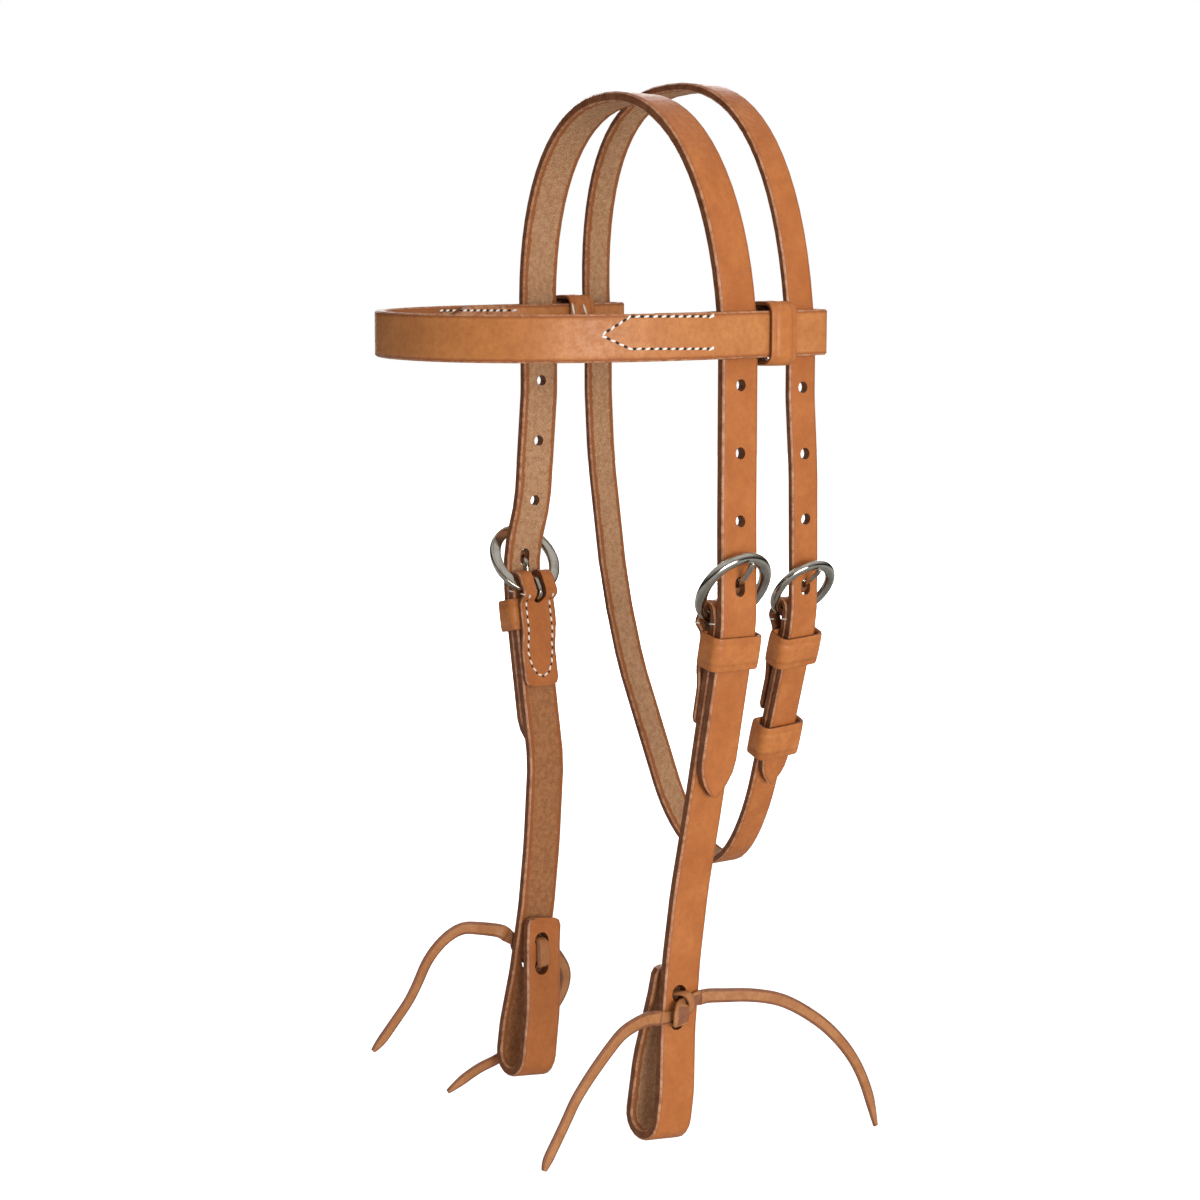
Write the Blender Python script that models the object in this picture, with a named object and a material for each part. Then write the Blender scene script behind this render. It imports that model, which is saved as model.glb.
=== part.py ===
# Western headstall: a crown strap and a throat strap over the poll, a browband that both pass
# through, two cheek straps on round buckles, and a laced loop for the bit at each cheek's end.
# The origin is under the middle of the crown strap's arch, +Z is up, the horse faces -Y and its
# near (left) side is at +X. Lengths are in metres, and a drop is measured down from the origin.

import math

import bmesh
import bpy
from mathutils import Vector

# Clearances
gap = 0.0003
keeper_gap = 0.00035
eye_gap = 0.0004

# Leather
strap_width = 0.0192
strap_thickness = 0.0045
strap_bevel = 0.0008
throat_width = 0.0148
throat_thickness = 0.0036
throat_bevel = 0.0007
brow_width = 0.0195
brow_thickness = 0.0038
brow_bevel = 0.0007
keeper_height = 0.015
keeper_thickness = 0.0021
keeper_bevel = 0.0006
keeper_side_gap = 0.0016
keeper_open = 0.0036
keeper_lap = 0.007
keeper_bend = 0.003
chape_hold = 0.0018
chape_fall = 0.0085
chape_turn = 0.004
bend_step = math.radians(22.5)
crease_angle = math.radians(40)

# Holes
hole_pitch = 0.0286
hole_count = 3
hole_diameter = 0.0052
throat_hole_rise = 0.0024
hole_reach = 0.012
worn_low_share = 2.2
worn_high_share = 3.9
slot_sides = 6

# The arms of the crown and throat straps, which run straight down through the browband
arm_half = 0.0742
arm_top_drop = 0.105
arm_run = 0.023
arm_low_drop = arm_top_drop + arm_run
arch_share = 2.2
throat_arch_share = 2.45
throat_arch_rise = 0.0067
crown_top_forward = 0.0082
crown_arm_forward = 0.0019
throat_top_back = 0.0242
throat_arm_back = 0.033
arch_steps = 18

# How far each place lies below the one before it, down the crown strap and the cheek strap
buckle_spread = 0.007
crown_bulge_run = 0.052
crown_bulge_drop = arm_low_drop + crown_bulge_run
crown_buckle_run = 0.0283
crown_buckle_drop = crown_bulge_drop + crown_buckle_run
crown_brace_rise = 0.0043
stack_run = 0.0162
stack_drop = crown_buckle_drop + stack_run
cheek_keeper_run = 0.003
cheek_keeper_drop = stack_drop + cheek_keeper_run
crown_tail_run = 0.075
crown_tail_drop = stack_drop + crown_tail_run
cheek_chape_run = 0.027
cheek_foot_run = 0.005
cheek_foot_drop = crown_tail_drop + cheek_foot_run
cheek_bow_run = 0.0375
cheek_bow_drop = cheek_foot_drop + cheek_bow_run
cheek_low_run = 0.03
cheek_low_drop = cheek_bow_drop + cheek_low_run

# The same down the throat strap, which has a buckle on its near side only
throat_buckle_inset = 0.0032
throat_bulge_run = 0.032
throat_bulge_drop = arm_low_drop + throat_bulge_run
throat_bend_run = 0.04
throat_bend_drop = throat_bulge_drop + throat_bend_run
throat_buckle_run = 0.012
throat_buckle_drop = throat_bend_drop + throat_buckle_run
throat_stack_run = 0.0135
throat_stack_drop = throat_buckle_drop + throat_stack_run
throat_keeper_run = 0.006
throat_keeper_drop = throat_stack_drop + throat_keeper_run
throat_chape_run = 0.0245
throat_chape_drop = throat_keeper_drop + keeper_height + throat_chape_run
throat_slide_run = 0.0025
throat_slide_drop = throat_chape_drop + throat_slide_run
throat_slide_height = 0.0166
throat_tail_run = 0.0134
throat_tail_drop = throat_slide_drop + throat_slide_height + throat_tail_run
throat_join_rise = 0.0015
throat_low_run = 0.044
throat_low_drop = throat_tail_drop + throat_low_run
throat_far_run = 0.062
throat_far_drop = throat_bulge_drop + throat_far_run
throat_sweep_run = 0.038
throat_sweep_drop = throat_far_drop + throat_sweep_run
throat_foot_run = 0.055
throat_foot_drop = throat_sweep_drop + throat_foot_run

# Cheek buckles: a round rim whose bottom sits in the cheek strap's fold
cheek_buckle = dict(
    half=arm_half + buckle_spread,
    back=-0.0073,
    drop=crown_buckle_drop,
    tilt=math.radians(33),
    width=strap_width,
    billet=strap_thickness,
    leg=strap_thickness,
    fold=0.0032,
    chape=0.0024,
    side_room=0.0038,
    rim=0.0053,
    rim_back=0.0018,
    rim_front=0.0022,
    fold_room=0.00065,
    wire=0.0014,
    slot=0.0054,
)

# Throat buckle, a smaller one of the same make
throat_buckle = dict(
    half=arm_half - throat_buckle_inset,
    back=0.0386,
    drop=throat_buckle_drop,
    tilt=math.radians(38),
    width=throat_width,
    billet=throat_thickness,
    leg=throat_thickness,
    fold=0.003,
    chape=0.0022,
    side_room=0.0043,
    rim=0.0045,
    rim_back=0.0014,
    rim_front=0.0018,
    fold_room=0.0006,
    wire=0.00115,
    slot=0.0046,
)

# The rim's section, from its bore outwards: shares of its width and of its two heights
rim_section_shares = (
    (0.0, -0.55),
    (0.12, -1.0),
    (0.88, -1.0),
    (1.0, -0.5),
    (1.0, 0.1),
    (0.85, 0.72),
    (0.6, 1.0),
    (0.22, 0.72),
    (0.0, 0.15),
)
rim_steps = 32
wire_sides = 8

# A tongue: shares of its wire's radius, of the rim and of the height from the billet's middle
eye_bend_share = 1.6
knee_bend_share = 3.2
crook_bend_share = 4.8
nose_share = 0.6
tip_share = 0.1
front_low_share = 0.2
shank_low_share = 0.25
shank_high_share = 1.1
top_room = 0.00045

# A strap's pointed tail: shares of its width, back from the tip and across
tail_shares = ((0.84, 1.0), (0.56, 0.9), (0.3, 0.66), (0.1, 0.34), (0.0, 0.12))

# Crown strap below the buckles, and the cheek straps beside and below it
crown_bulge_out = 0.0026
crown_bulge_half = arm_half + crown_bulge_out
crown_bulge_back = -0.004
stack_slant_share = 0.2
stack_lean_share = -0.01
cheek_bow_in = 0.0172
cheek_bow_half = arm_half - cheek_bow_in
cheek_bow_back = -0.0129
cheek_low_in = 0.0007
cheek_low_half = cheek_bow_half - cheek_low_in
cheek_low_back = -0.0166
return_corner = 0.0035
tie_hole_diameter = 0.008
tie_hole_forward = 0.0016
tie_hole_top = 0.0152
tie_hole_pitch = 0.0119

# The loop for the bit, below the cheek strap's low point: how far out and how far down the strap
loop_lean_share = -0.13
loop_spread_out = 0.0017
loop_spread_down = 0.032
loop_side_out = 0.0053
loop_side_down = 0.058
loop_depth = 0.0792
loop_width = 0.0194
loop_radius = 0.009
return_side_out = -0.0132
return_side_down = 0.047
return_neck_out = -0.0076
return_neck_down = 0.017
return_end_out = -0.0063
return_end_down = 0.005

# Throat strap below the browband
throat_bulge_out = 0.0003
throat_bulge_half = arm_half + throat_bulge_out
throat_bulge_back = 0.0349
throat_far_in = 0.0062
throat_far_half = throat_bulge_half - throat_far_in
throat_far_back = 0.0386
throat_sweep_in = 0.0113
throat_sweep_half = throat_far_half - throat_sweep_in
throat_sweep_back = 0.0402
throat_foot_in = 0.0213
throat_foot_half = throat_sweep_half - throat_foot_in
throat_foot_back = 0.0457
throat_foot_slant_share = 0.42
throat_ease = 0.0012
throat_slant_share = 0.37
throat_lean_share = 0.078
throat_keeper_room = 0.0026
throat_low_back = 0.05
throat_side_pull = 0.02
throat_low_pull = 0.014
throat_low_steps = 11

# Browband
brow_above = 0.004
brow_drop = arm_top_drop - brow_above
brow_fold_room = -0.0008
brow_front = 0.121
brow_slack = 0.0018
brow_lift = 0.0024
brow_roll_share = 0.035
brow_pitch_share = 0.029
brow_start = 0.0125
brow_share = 2.2
brow_steps = 16
brow_fold_steps = 8
return_length = 0.052
return_point = 0.02
return_steps = 3
return_step_in = 0.008
point_share = 0.12
brow_keeper_width = 0.014
brow_keeper_thickness = 0.0023
brow_keeper_slack = 0.0018
brow_keeper_lap = 0.008
brow_keeper_bend_share = 2.0

# Bit ties
lace_width = 0.0068
lace_thickness = 0.0018
lace_bevel = 0.0005
lace_steps = 3

# Bends of the strap routes
far_bend = 0.12
wide_bend = 0.06
brace_bend = 0.04
stack_bend = 0.025
chape_bend = 0.012
toe_bend = 0.0024

grain_colour = (0.58, 0.225, 0.082)
keeper_colour = (0.6, 0.235, 0.088)
lace_colour = (0.55, 0.22, 0.085)
metal_colour = (0.62, 0.6, 0.56)


def clear_scene():
    for thing in list(bpy.data.objects):
        bpy.data.objects.remove(thing, do_unlink=True)


def leather(name, colour, roughness=0.55):
    return surface(name, colour, roughness, 0.0)


def surface(name, colour, roughness, metallic):
    made = bpy.data.materials.new(name)
    made.use_nodes = True
    shader = made.node_tree.nodes["Principled BSDF"]
    shader.inputs["Base Color"].default_value = (*colour, 1.0)
    shader.inputs["Roughness"].default_value = roughness
    shader.inputs["Metallic"].default_value = metallic
    return made


def sub_part(name, rings, material, closed=False, mirrored=False, smooth=False):
    """A closed solid lofted through rings of points; the ends are capped unless it is closed."""
    body = bmesh.new()
    sign = -1 if mirrored else 1
    rows = [[body.verts.new((sign * p.x, p.y, p.z)) for p in ring] for ring in rings]
    count = len(rows[0])
    for i in range(len(rows) - (0 if closed else 1)):
        a, b = rows[i], rows[(i + 1) % len(rows)]
        for j in range(count):
            k = (j + 1) % count
            body.faces.new((a[j], a[k], b[k], b[j]))
    if not closed:
        body.faces.new(list(reversed(rows[0])))
        body.faces.new(rows[-1])
    bmesh.ops.recalc_face_normals(body, faces=body.faces[:])
    mesh = bpy.data.meshes.new(name)
    body.to_mesh(mesh)
    body.free()
    if smooth:
        mesh.shade_smooth()
        mesh.set_sharp_from_angle(angle=crease_angle)
    made = bpy.data.objects.new(name, mesh)
    bpy.context.scene.collection.objects.link(made)
    mesh.materials.append(material)
    return made


def at(point, bend, width, thickness, ref=None):
    return dict(point=Vector(point), bend=bend, width=width, thickness=thickness, ref=ref)


def rounded(corners, closed=False):
    """The corners of a route with each bend drawn as an arc of its radius."""
    made = []
    count = len(corners)
    for i, corner in enumerate(corners):
        if not corner["bend"] or (not closed and i in (0, count - 1)):
            made.append(corner)
            continue
        here = corner["point"]
        come = (here - corners[i - 1]["point"]).normalized()
        go = (corners[(i + 1) % count]["point"] - here).normalized()
        turn = come.angle(go)
        axis = come.cross(go).normalized()
        centre = here + (go - come).normalized() * (corner["bend"] / math.cos(turn / 2))
        arm = here - come * (corner["bend"] * math.tan(turn / 2)) - centre
        steps = max(1, math.ceil(turn / bend_step))
        for k in range(steps + 1):
            along = turn * k / steps
            turned = arm * math.cos(along) + axis.cross(arm) * math.sin(along)
            made.append({**corner, "point": centre + turned})
    return made


def smoothed(corners, steps):
    """A smooth curve through hand-chosen points, which keeps their widths and turns."""
    made = []
    for i in range(len(corners) - 1):
        four = [corners[min(max(k, 0), len(corners) - 1)] for k in (i - 1, i, i + 1, i + 2)]
        for k in range(steps):
            made.append(between(four, k / steps))
    made.append(corners[-1])
    return made


def between(four, t):
    a, b, c, d = (corner["point"] for corner in four)
    point = 0.5 * (2 * b + (c - a) * t + (2 * a - 5 * b + 4 * c - d) * t**2)
    point += 0.5 * (3 * b - 3 * c + d - a) * t**3
    p, q = four[1], four[2]
    mixed = dict(p, point=point)
    for key in ("width", "thickness"):
        mixed[key] = p[key] + (q[key] - p[key]) * t
    if p["ref"] is not None:
        mixed["ref"] = p["ref"].lerp(q["ref"], t)
    return mixed


def strip(stations, ref, bevel, closed=False):
    """Rings of a flat strap, with bevelled edges, along its stations. ref is the way of its width."""
    rings = []
    count = len(stations)
    for i, station in enumerate(stations):
        here = station["point"]
        before = stations[i - 1]["point"] if closed or i else None
        after = stations[(i + 1) % count]["point"] if closed or i < count - 1 else None
        come = (here - before).normalized() if before else (after - here).normalized()
        go = (after - here).normalized() if after else come
        along = (come + go).normalized()
        across = station["ref"] or ref
        across = (across - along * across.dot(along)).normalized()
        up = along.cross(across)
        across = across / math.sqrt(1 - come.dot(across) ** 2)
        up = up / math.sqrt(1 - come.dot(up) ** 2)
        a, b = station["width"] / 2, station["thickness"] / 2
        cut = min(bevel, a / 2, b / 2)
        outline = ((-a, cut - b), (cut - a, -b), (a - cut, -b), (a, cut - b))
        outline += ((a, b - cut), (a - cut, b), (cut - a, b), (-a, b - cut))
        rings.append([here + across * u + up * v for u, v in outline])
    return rings


def tail(corner, toward):
    """Stations of a pointed tail that ends at a corner. toward points to the tip."""
    return [
        {**corner, "point": corner["point"] - toward * (back * corner["width"]),
         "width": corner["width"] * share, "bend": 0}
        for back, share in tail_shares
    ]


def cutter(name, profile, start, end):
    """A prism along X that cuts holes. profile is a list of (y, z) points."""
    made = sub_part(name, [[Vector((x, y, z)) for y, z in profile] for x in (start, end)],
                    cutter_material)
    made.hide_render = True
    made.display_type = "WIRE"
    return made


def slot_profile(y, low, high, width):
    """A round-ended slot in a strap that hangs down, or a round hole where low and high meet."""
    radius = width / 2
    made = []
    for k in range(slot_sides + 1):
        turn = math.pi * k / slot_sides
        made.append((y + radius * math.cos(turn), high + radius * math.sin(turn)))
    for k in range(slot_sides + 1):
        turn = math.pi * (1 + k / slot_sides)
        if high > low or 0 < k < slot_sides:
            made.append((y + radius * math.cos(turn), low + radius * math.sin(turn)))
    return made


def cut(strap, tool):
    modifier = strap.modifiers.new(tool.name, "BOOLEAN")
    modifier.operation = "DIFFERENCE"
    modifier.object = tool


class Buckle:
    """Where a buckle's parts lie, in the plane of its side: n is outwards from the billet's middle
    and z is up from the rim's centre. In the rim's own plane q is up along it and h is out of it."""

    def __init__(self, half, back, drop, tilt, width, billet, leg, fold, chape, side_room, rim,
                 rim_back, rim_front, fold_room, wire, slot):
        self.origin = Vector((half, back, -drop))
        self.tilt, self.width, self.billet, self.leg = tilt, width, billet, leg
        self.fold, self.chape, self.rim, self.wire, self.slot = fold, chape, rim, wire, slot
        self.rim_back, self.rim_front = rim_back, rim_front
        self.bore = width / 2 + side_room
        self.outer = self.bore + rim
        # The fold's hollow is as wide as the rim is thick, and its top clears the rim's bore where
        # the strap's edges cross it.
        self.hollow = (rim_back + rim_front) / 2 + gap
        edge = math.sqrt(self.bore**2 - (width / 2) ** 2)
        self.fold_q = -edge + fold_room - self.hollow
        self.fold_h = (rim_front - rim_back) / 2
        reach = self.hollow + fold
        self.shift = (-billet / 2 - gap - reach - self.fold_q * math.sin(tilt)
                      - self.fold_h * math.cos(tilt))
        self.fold_bend = self.hollow + fold / 2
        self.bar = self.bore + rim / 2

    def side(self, n, z, y=0.0):
        return self.origin + Vector((n, y, z))

    def plane(self, q, h, y=0.0):
        s, c = math.sin(self.tilt), math.cos(self.tilt)
        return self.side(self.shift + q * s + h * c, q * c - h * s, y)

    def fold_corner(self):
        """Where the straight legs of the fold would meet: one upright, one along the rim."""
        s, c = math.sin(self.tilt), math.cos(self.tilt)
        slide = self.fold_bend * (1 + c) / s
        return self.plane(self.fold_q + slide, self.fold_h - self.fold_bend)

    def toe_corner(self):
        """Where the turned-back leg passes behind the rim's lowest edge."""
        return self.plane(-self.outer - self.wire, self.fold_h - self.fold_bend)

    def frame_pivot(self):
        return self.plane(self.fold_q, self.fold_h)

    def tongue_pivot(self):
        return self.plane(-self.bar, self.fold_h)


def rim_rings(buckle):
    rings = []
    for k in range(rim_steps):
        turn = 2 * math.pi * k / rim_steps
        ring = []
        for across, height in rim_section_shares:
            radius = buckle.bore + across * buckle.rim
            h = height * (buckle.rim_front if height > 0 else buckle.rim_back)
            ring.append(buckle.plane(radius * math.cos(turn), h, radius * math.sin(turn)))
        rings.append(ring)
    return rings


def wire_rings(route, radius):
    """Rings of a round wire that lies in the plane of its side."""
    rings = []
    count = len(route)
    for i, station in enumerate(route):
        here = station["point"]
        come = (here - route[max(i - 1, 0)]["point"]).normalized()
        go = (route[min(i + 1, count - 1)]["point"] - here).normalized()
        along = (come + go).normalized()
        side = Vector((0, 1, 0))
        up = along.cross(side)
        r = radius * station["width"]
        turns = [2 * math.pi * k / wire_sides for k in range(wire_sides)]
        rings.append([here + side * (r * math.cos(t)) + up * (r * math.sin(t)) for t in turns])
    return rings


def tongue_route(buckle):
    """The eye round the rim, then the shank up through the billet's hole and over the rim."""
    off = eye_gap + buckle.wire
    inner, outer = -buckle.bore + off, -buckle.outer - off
    back, front = -buckle.rim_back - off, buckle.rim_front + off
    eye_bend = buckle.wire * eye_bend_share
    knee = buckle.wire * knee_bend_share
    crook = buckle.wire * crook_bend_share
    face = buckle.billet / 2 + gap + buckle.wire
    top = buckle.rim_front + top_room + buckle.wire
    route = [
        at(buckle.plane(inner, front - 2 * (buckle.wire + gap)), 0, 1, 1),
        at(buckle.plane(inner, back), eye_bend, 1, 1),
        at(buckle.plane(outer, back), eye_bend, 1, 1),
        at(buckle.plane(outer, front - front_low_share * buckle.rim_front), eye_bend, 1, 1),
        at(buckle.plane(inner, front), crook, 1, 1),
        at(buckle.side(-face, -shank_low_share * face), knee, 1, 1),
        at(buckle.side(face, shank_high_share * face), crook, 1, 1),
        at(buckle.plane(buckle.bore, top), knee, 1, 1),
        at(buckle.plane(buckle.bar + tip_share * buckle.rim, top), 0, 1, 1),
    ]
    made = rounded(route)
    tip = made[-1]["point"]
    nose = (tip - made[-2]["point"]).normalized()
    made.append(at(tip + nose * (nose_share * buckle.wire), 0, nose_share, 1))
    return made


def arch(share, half, rise, drop, thickness, width, top_back, arm_back):
    """Stations over the poll from the far arm to the near arm, a superellipse of that share."""
    made = []
    crest = rise + thickness / 2
    height = crest + drop
    for k in range(-arch_steps, arch_steps + 1):
        turn = math.pi / 2 * k / arch_steps
        x = half * math.copysign(abs(math.sin(turn)) ** (2 / share), turn)
        up = height * math.cos(turn) ** (2 / share) if abs(k) < arch_steps else 0.0
        back = top_back + (arm_back - top_back) * (1 - up / height)
        made.append(at((x, back, up - drop), 0, width, thickness))
    return made


def mirror(corner):
    return {**corner, "point": Vector((-corner["point"].x, corner["point"].y, corner["point"].z))}


cutter_material = surface("cutter", grain_colour, 0.5, 0.0)


def down_stack(origin, slant, lean, n, drop):
    """A point n outwards from the billet's middle, on the slanting part of a side."""
    along = Vector((-slant, lean, -1)).normalized()
    across = (Vector((0, 1, 0)) - along * along.y).normalized()
    out = along.cross(across)
    low = origin + Vector((-slant, lean, -1)) * (drop + origin.z)
    return low + out * n


def build_crown():
    wide, thick = strap_width, strap_thickness
    top = arch(arch_share, arm_half, 0.0, arm_top_drop, thick, wide, -crown_top_forward,
               -crown_arm_forward)
    buckle = Buckle(**cheek_buckle)
    turn = Vector((buckle.origin.x, buckle.origin.y, -stack_drop))
    arm = [
        at((arm_half, -crown_arm_forward, -arm_top_drop), 0, wide, thick),
        at((arm_half, -crown_arm_forward, -arm_low_drop), wide_bend, wide, thick),
        at((crown_bulge_half, crown_bulge_back, -crown_bulge_drop), wide_bend, wide, thick),
        at((buckle.origin.x, buckle.origin.y, buckle.origin.z + crown_brace_rise), brace_bend,
           wide, thick),
        at(turn, stack_bend, wide, thick),
        at(down_stack(turn, stack_slant_share, stack_lean_share, 0, crown_tail_drop), 0, wide, thick),
    ]
    along = (arm[-1]["point"] - turn).normalized()
    near = rounded(arm)[1:-1] + tail(arm[-1], along)
    stations = [mirror(s) for s in reversed(near)] + top + near
    strap = sub_part("crown_strap", strip(stations, Vector((0, 1, 0)), strap_bevel), grain)
    for side, name in ((1, "near"), (-1, "far")):
        places = billet_holes(arm, crown_buckle_drop - hole_count * hole_pitch)
        for k, (y, z) in enumerate(places):
            profile = slot_profile(y, z, z, hole_diameter)
            cut(strap, cutter(f"crown_hole_{name}_{k}", profile,
                              side * (arm_half - hole_reach), side * (arm_half + hole_reach)))
        cut(strap, worn_hole(f"crown_worn_hole_{name}", buckle, side))
    return strap



def billet_holes(arm, first):
    """Where the row of spare holes crosses the strap's middle line."""
    places = []
    for k in range(hole_count):
        z = -(first + k * hole_pitch)
        for a, b in zip(arm, arm[1:]):
            p, q = a["point"], b["point"]
            if q.z <= z <= p.z:
                places.append((p.y + (q.y - p.y) * (z - p.z) / (q.z - p.z), z))
                break
    return places


def worn_hole(name, buckle, side):
    """The hole in use, drawn long by the tongue."""
    radius = hole_diameter / 2
    low = buckle.origin.z - worn_low_share * buckle.wire + radius
    high = buckle.origin.z + worn_high_share * buckle.wire - radius
    profile = slot_profile(buckle.origin.y, low, high, hole_diameter)
    start = buckle.origin.x - buckle.billet
    end = buckle.origin.x + buckle.billet
    return cutter(name, profile, side * start, side * end)


def build_cheek(name, mirrored):
    wide, thick = strap_width, strap_thickness
    buckle = Buckle(**cheek_buckle)
    chape = buckle.chape
    turn = Vector((buckle.origin.x, buckle.origin.y, -stack_drop))

    def stack(n, drop):
        return down_stack(turn, stack_slant_share, stack_lean_share, n, drop)

    leg = -(buckle.billet / 2 + gap + thick / 2)
    beside = leg - thick / 2 - gap - chape / 2
    behind = beside - keeper_thickness - gap
    keeper_low = cheek_keeper_drop + keeper_height
    square = Vector((0, 1, loop_lean_share)).normalized()
    route = [
        at(stack(beside, keeper_low + cheek_chape_run), 0, wide, chape),
        at(stack(beside, keeper_low + chape_fall), chape_bend, wide, chape),
        at(stack(behind, keeper_low + chape_hold), chape_bend, wide, chape),
        at(stack(behind, cheek_keeper_drop + chape_hold), chape_turn, wide, chape),
        at(buckle.toe_corner(), toe_bend, wide, chape),
        at(buckle.fold_corner(), buckle.fold_bend, wide, buckle.fold),
        at(buckle.side(leg, -stack_drop - buckle.origin.z), stack_bend, wide, thick),
        at(stack(leg, cheek_foot_drop), wide_bend, wide, thick),
        at((cheek_bow_half, cheek_bow_back, -cheek_bow_drop), far_bend, wide, thick),
        at(bit_loop(0, 0), wide_bend, wide, thick, square),
        at(bit_loop(loop_spread_out, loop_spread_down), wide_bend, wide, thick, square),
        at(bit_loop(loop_side_out, loop_side_down), stack_bend, wide, thick, square),
        at(bit_loop(loop_side_out, loop_depth), loop_radius, wide, thick, square),
        at(bit_loop(loop_side_out - loop_width, loop_depth), loop_radius, wide, thick, square),
        at(bit_loop(return_side_out, return_side_down), brace_bend, wide, thick, square),
        at(bit_loop(return_neck_out, return_neck_down), stack_bend, wide, thick, square),
        at(bit_loop(return_end_out, return_end_down), 0, wide, thick, square),
    ]
    stations = rounded(route)
    stations = square_end(stations[1], stations[0]) + stations[1:-1]
    stations += list(reversed(square_end(stations[-1], route[-1])))
    strap = sub_part(name, strip(stations, Vector((0, 1, 0)), strap_bevel), grain,
                     mirrored=mirrored)
    side = -1 if mirrored else 1
    for k in range(2):
        place = bit_loop(0, tie_hole_top + k * tie_hole_pitch)
        profile = slot_profile(place.y - tie_hole_forward, place.z, place.z, tie_hole_diameter)
        cut(strap, cutter(f"{name}_tie_hole_{k}", profile,
                          side * (place.x - loop_width), side * (place.x + loop_width)))
    cut(strap, tongue_slot(f"{name}_slot", buckle, side))
    return strap


def bit_loop(out, down):
    """A point on the loop for the bit, measured from the cheek strap's low point."""
    low = Vector((cheek_low_half, cheek_low_back, -cheek_low_drop))
    return low + Vector((out, 0, 0)) + Vector((0, loop_lean_share, -1)).normalized() * down


def square_end(inner, end):
    """Stations of a cut end whose corners are rounded, from the end inwards."""
    back = (inner["point"] - end["point"]).normalized()
    made = []
    for k in range(3):
        turn = math.pi / 2 * k / 2
        inset = return_corner * (1 - math.sin(turn))
        here = end["point"] + back * (return_corner * (1 - math.cos(turn)))
        made.append({**end, "point": here, "width": end["width"] - 2 * inset, "bend": 0})
    return made


def tongue_slot(name, buckle, side):
    """The slot through the fold that the tongue's eye turns in."""
    foot = buckle.plane(-buckle.outer - eye_gap - 2 * buckle.wire, buckle.rim_front)
    head = buckle.origin.z + buckle.bore
    low = foot.z - eye_gap + buckle.slot / 2
    profile = slot_profile(buckle.origin.y, low, head, buckle.slot)
    start = buckle.plane(-buckle.outer - 2 * buckle.rim, 0).x
    end = buckle.origin.x
    return cutter(name, profile, side * start, side * end)


def build_throat():
    wide, thick = throat_width, throat_thickness
    buckle = Buckle(**throat_buckle)
    top = arch(throat_arch_share, arm_half, throat_arch_rise, arm_top_drop, thick, wide,
               throat_top_back, throat_arm_back)
    turn = Vector((buckle.origin.x, buckle.origin.y, -throat_stack_drop))

    def stack(n, drop):
        return down_stack(turn, throat_slant_share, throat_lean_share, n, drop)

    leg = -(thick + gap)
    chape = buckle.chape
    beside = leg - thick / 2 - throat_ease - chape / 2
    behind = leg - thick / 2 - keeper_thickness - 2 * gap - chape / 2
    keeper_low = throat_keeper_drop + keeper_height
    arm = [
        at((arm_half, throat_arm_back, -arm_top_drop), 0, wide, thick),
        at((arm_half, throat_arm_back, -arm_low_drop), wide_bend, wide, thick),
        at((throat_bulge_half, throat_bulge_back, -throat_bulge_drop), wide_bend, wide, thick),
        at((buckle.origin.x, buckle.origin.y, -throat_bend_drop), wide_bend / 2, wide, thick),
        at(turn, stack_bend, wide, thick),
        at(stack(0, throat_tail_drop), 0, wide, thick),
    ]
    along = (arm[-1]["point"] - turn).normalized()
    near = rounded(arm)[1:-1] + tail(arm[-1], along)

    # The far side is a single layer that sweeps in under the throat.
    far = arm[:2] + [
        at((throat_bulge_half, throat_bulge_back, -throat_bulge_drop), far_bend, wide, thick),
        at((throat_far_half, throat_far_back, -throat_far_drop), far_bend, wide, thick),
        at((throat_sweep_half, throat_sweep_back, -throat_sweep_drop), far_bend, wide, thick),
        at((throat_foot_half, throat_foot_back, -throat_foot_drop), 0, wide, thick),
    ]
    far = [mirror(s) for s in rounded(far)[1:]]
    near_join = stack(leg, throat_tail_drop - throat_join_rise)
    low = lower_loop(far[-1]["point"], near_join)
    leg_route = rounded([
        at(near_join, 0, wide, thick),
        at(buckle.side(leg, -throat_stack_drop - buckle.origin.z), stack_bend, wide, thick),
        at(buckle.fold_corner(), buckle.fold_bend, wide, buckle.fold),
        at(buckle.toe_corner(), toe_bend, wide, chape),
        at(stack(behind, throat_keeper_drop + chape_hold), chape_turn, wide, chape),
        at(stack(behind, keeper_low + chape_hold), chape_bend, wide, chape),
        at(stack(beside, keeper_low + chape_fall), chape_bend, wide, chape),
        at(stack(beside, throat_chape_drop), 0, wide, chape),
    ])
    end = square_end(leg_route[-2], leg_route[-1])
    stations = list(reversed(near)) + list(reversed(top)) + far + low + leg_route[1:-1]
    stations += list(reversed(end))
    strap = sub_part("throat_strap", strip(stations, Vector((0, -1, 0)), throat_bevel), grain)
    first = throat_buckle_drop - hole_count * hole_pitch - throat_hole_rise
    for k, (y, z) in enumerate(billet_holes(arm, first)):
        profile = slot_profile(y, z, z, hole_diameter)
        cut(strap, cutter(f"throat_hole_{k}", profile, arm_half - hole_reach, arm_half + hole_reach))
    cut(strap, worn_hole("throat_worn_hole", buckle, 1))
    cut(strap, tongue_slot("throat_slot", buckle, 1))
    return strap


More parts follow.
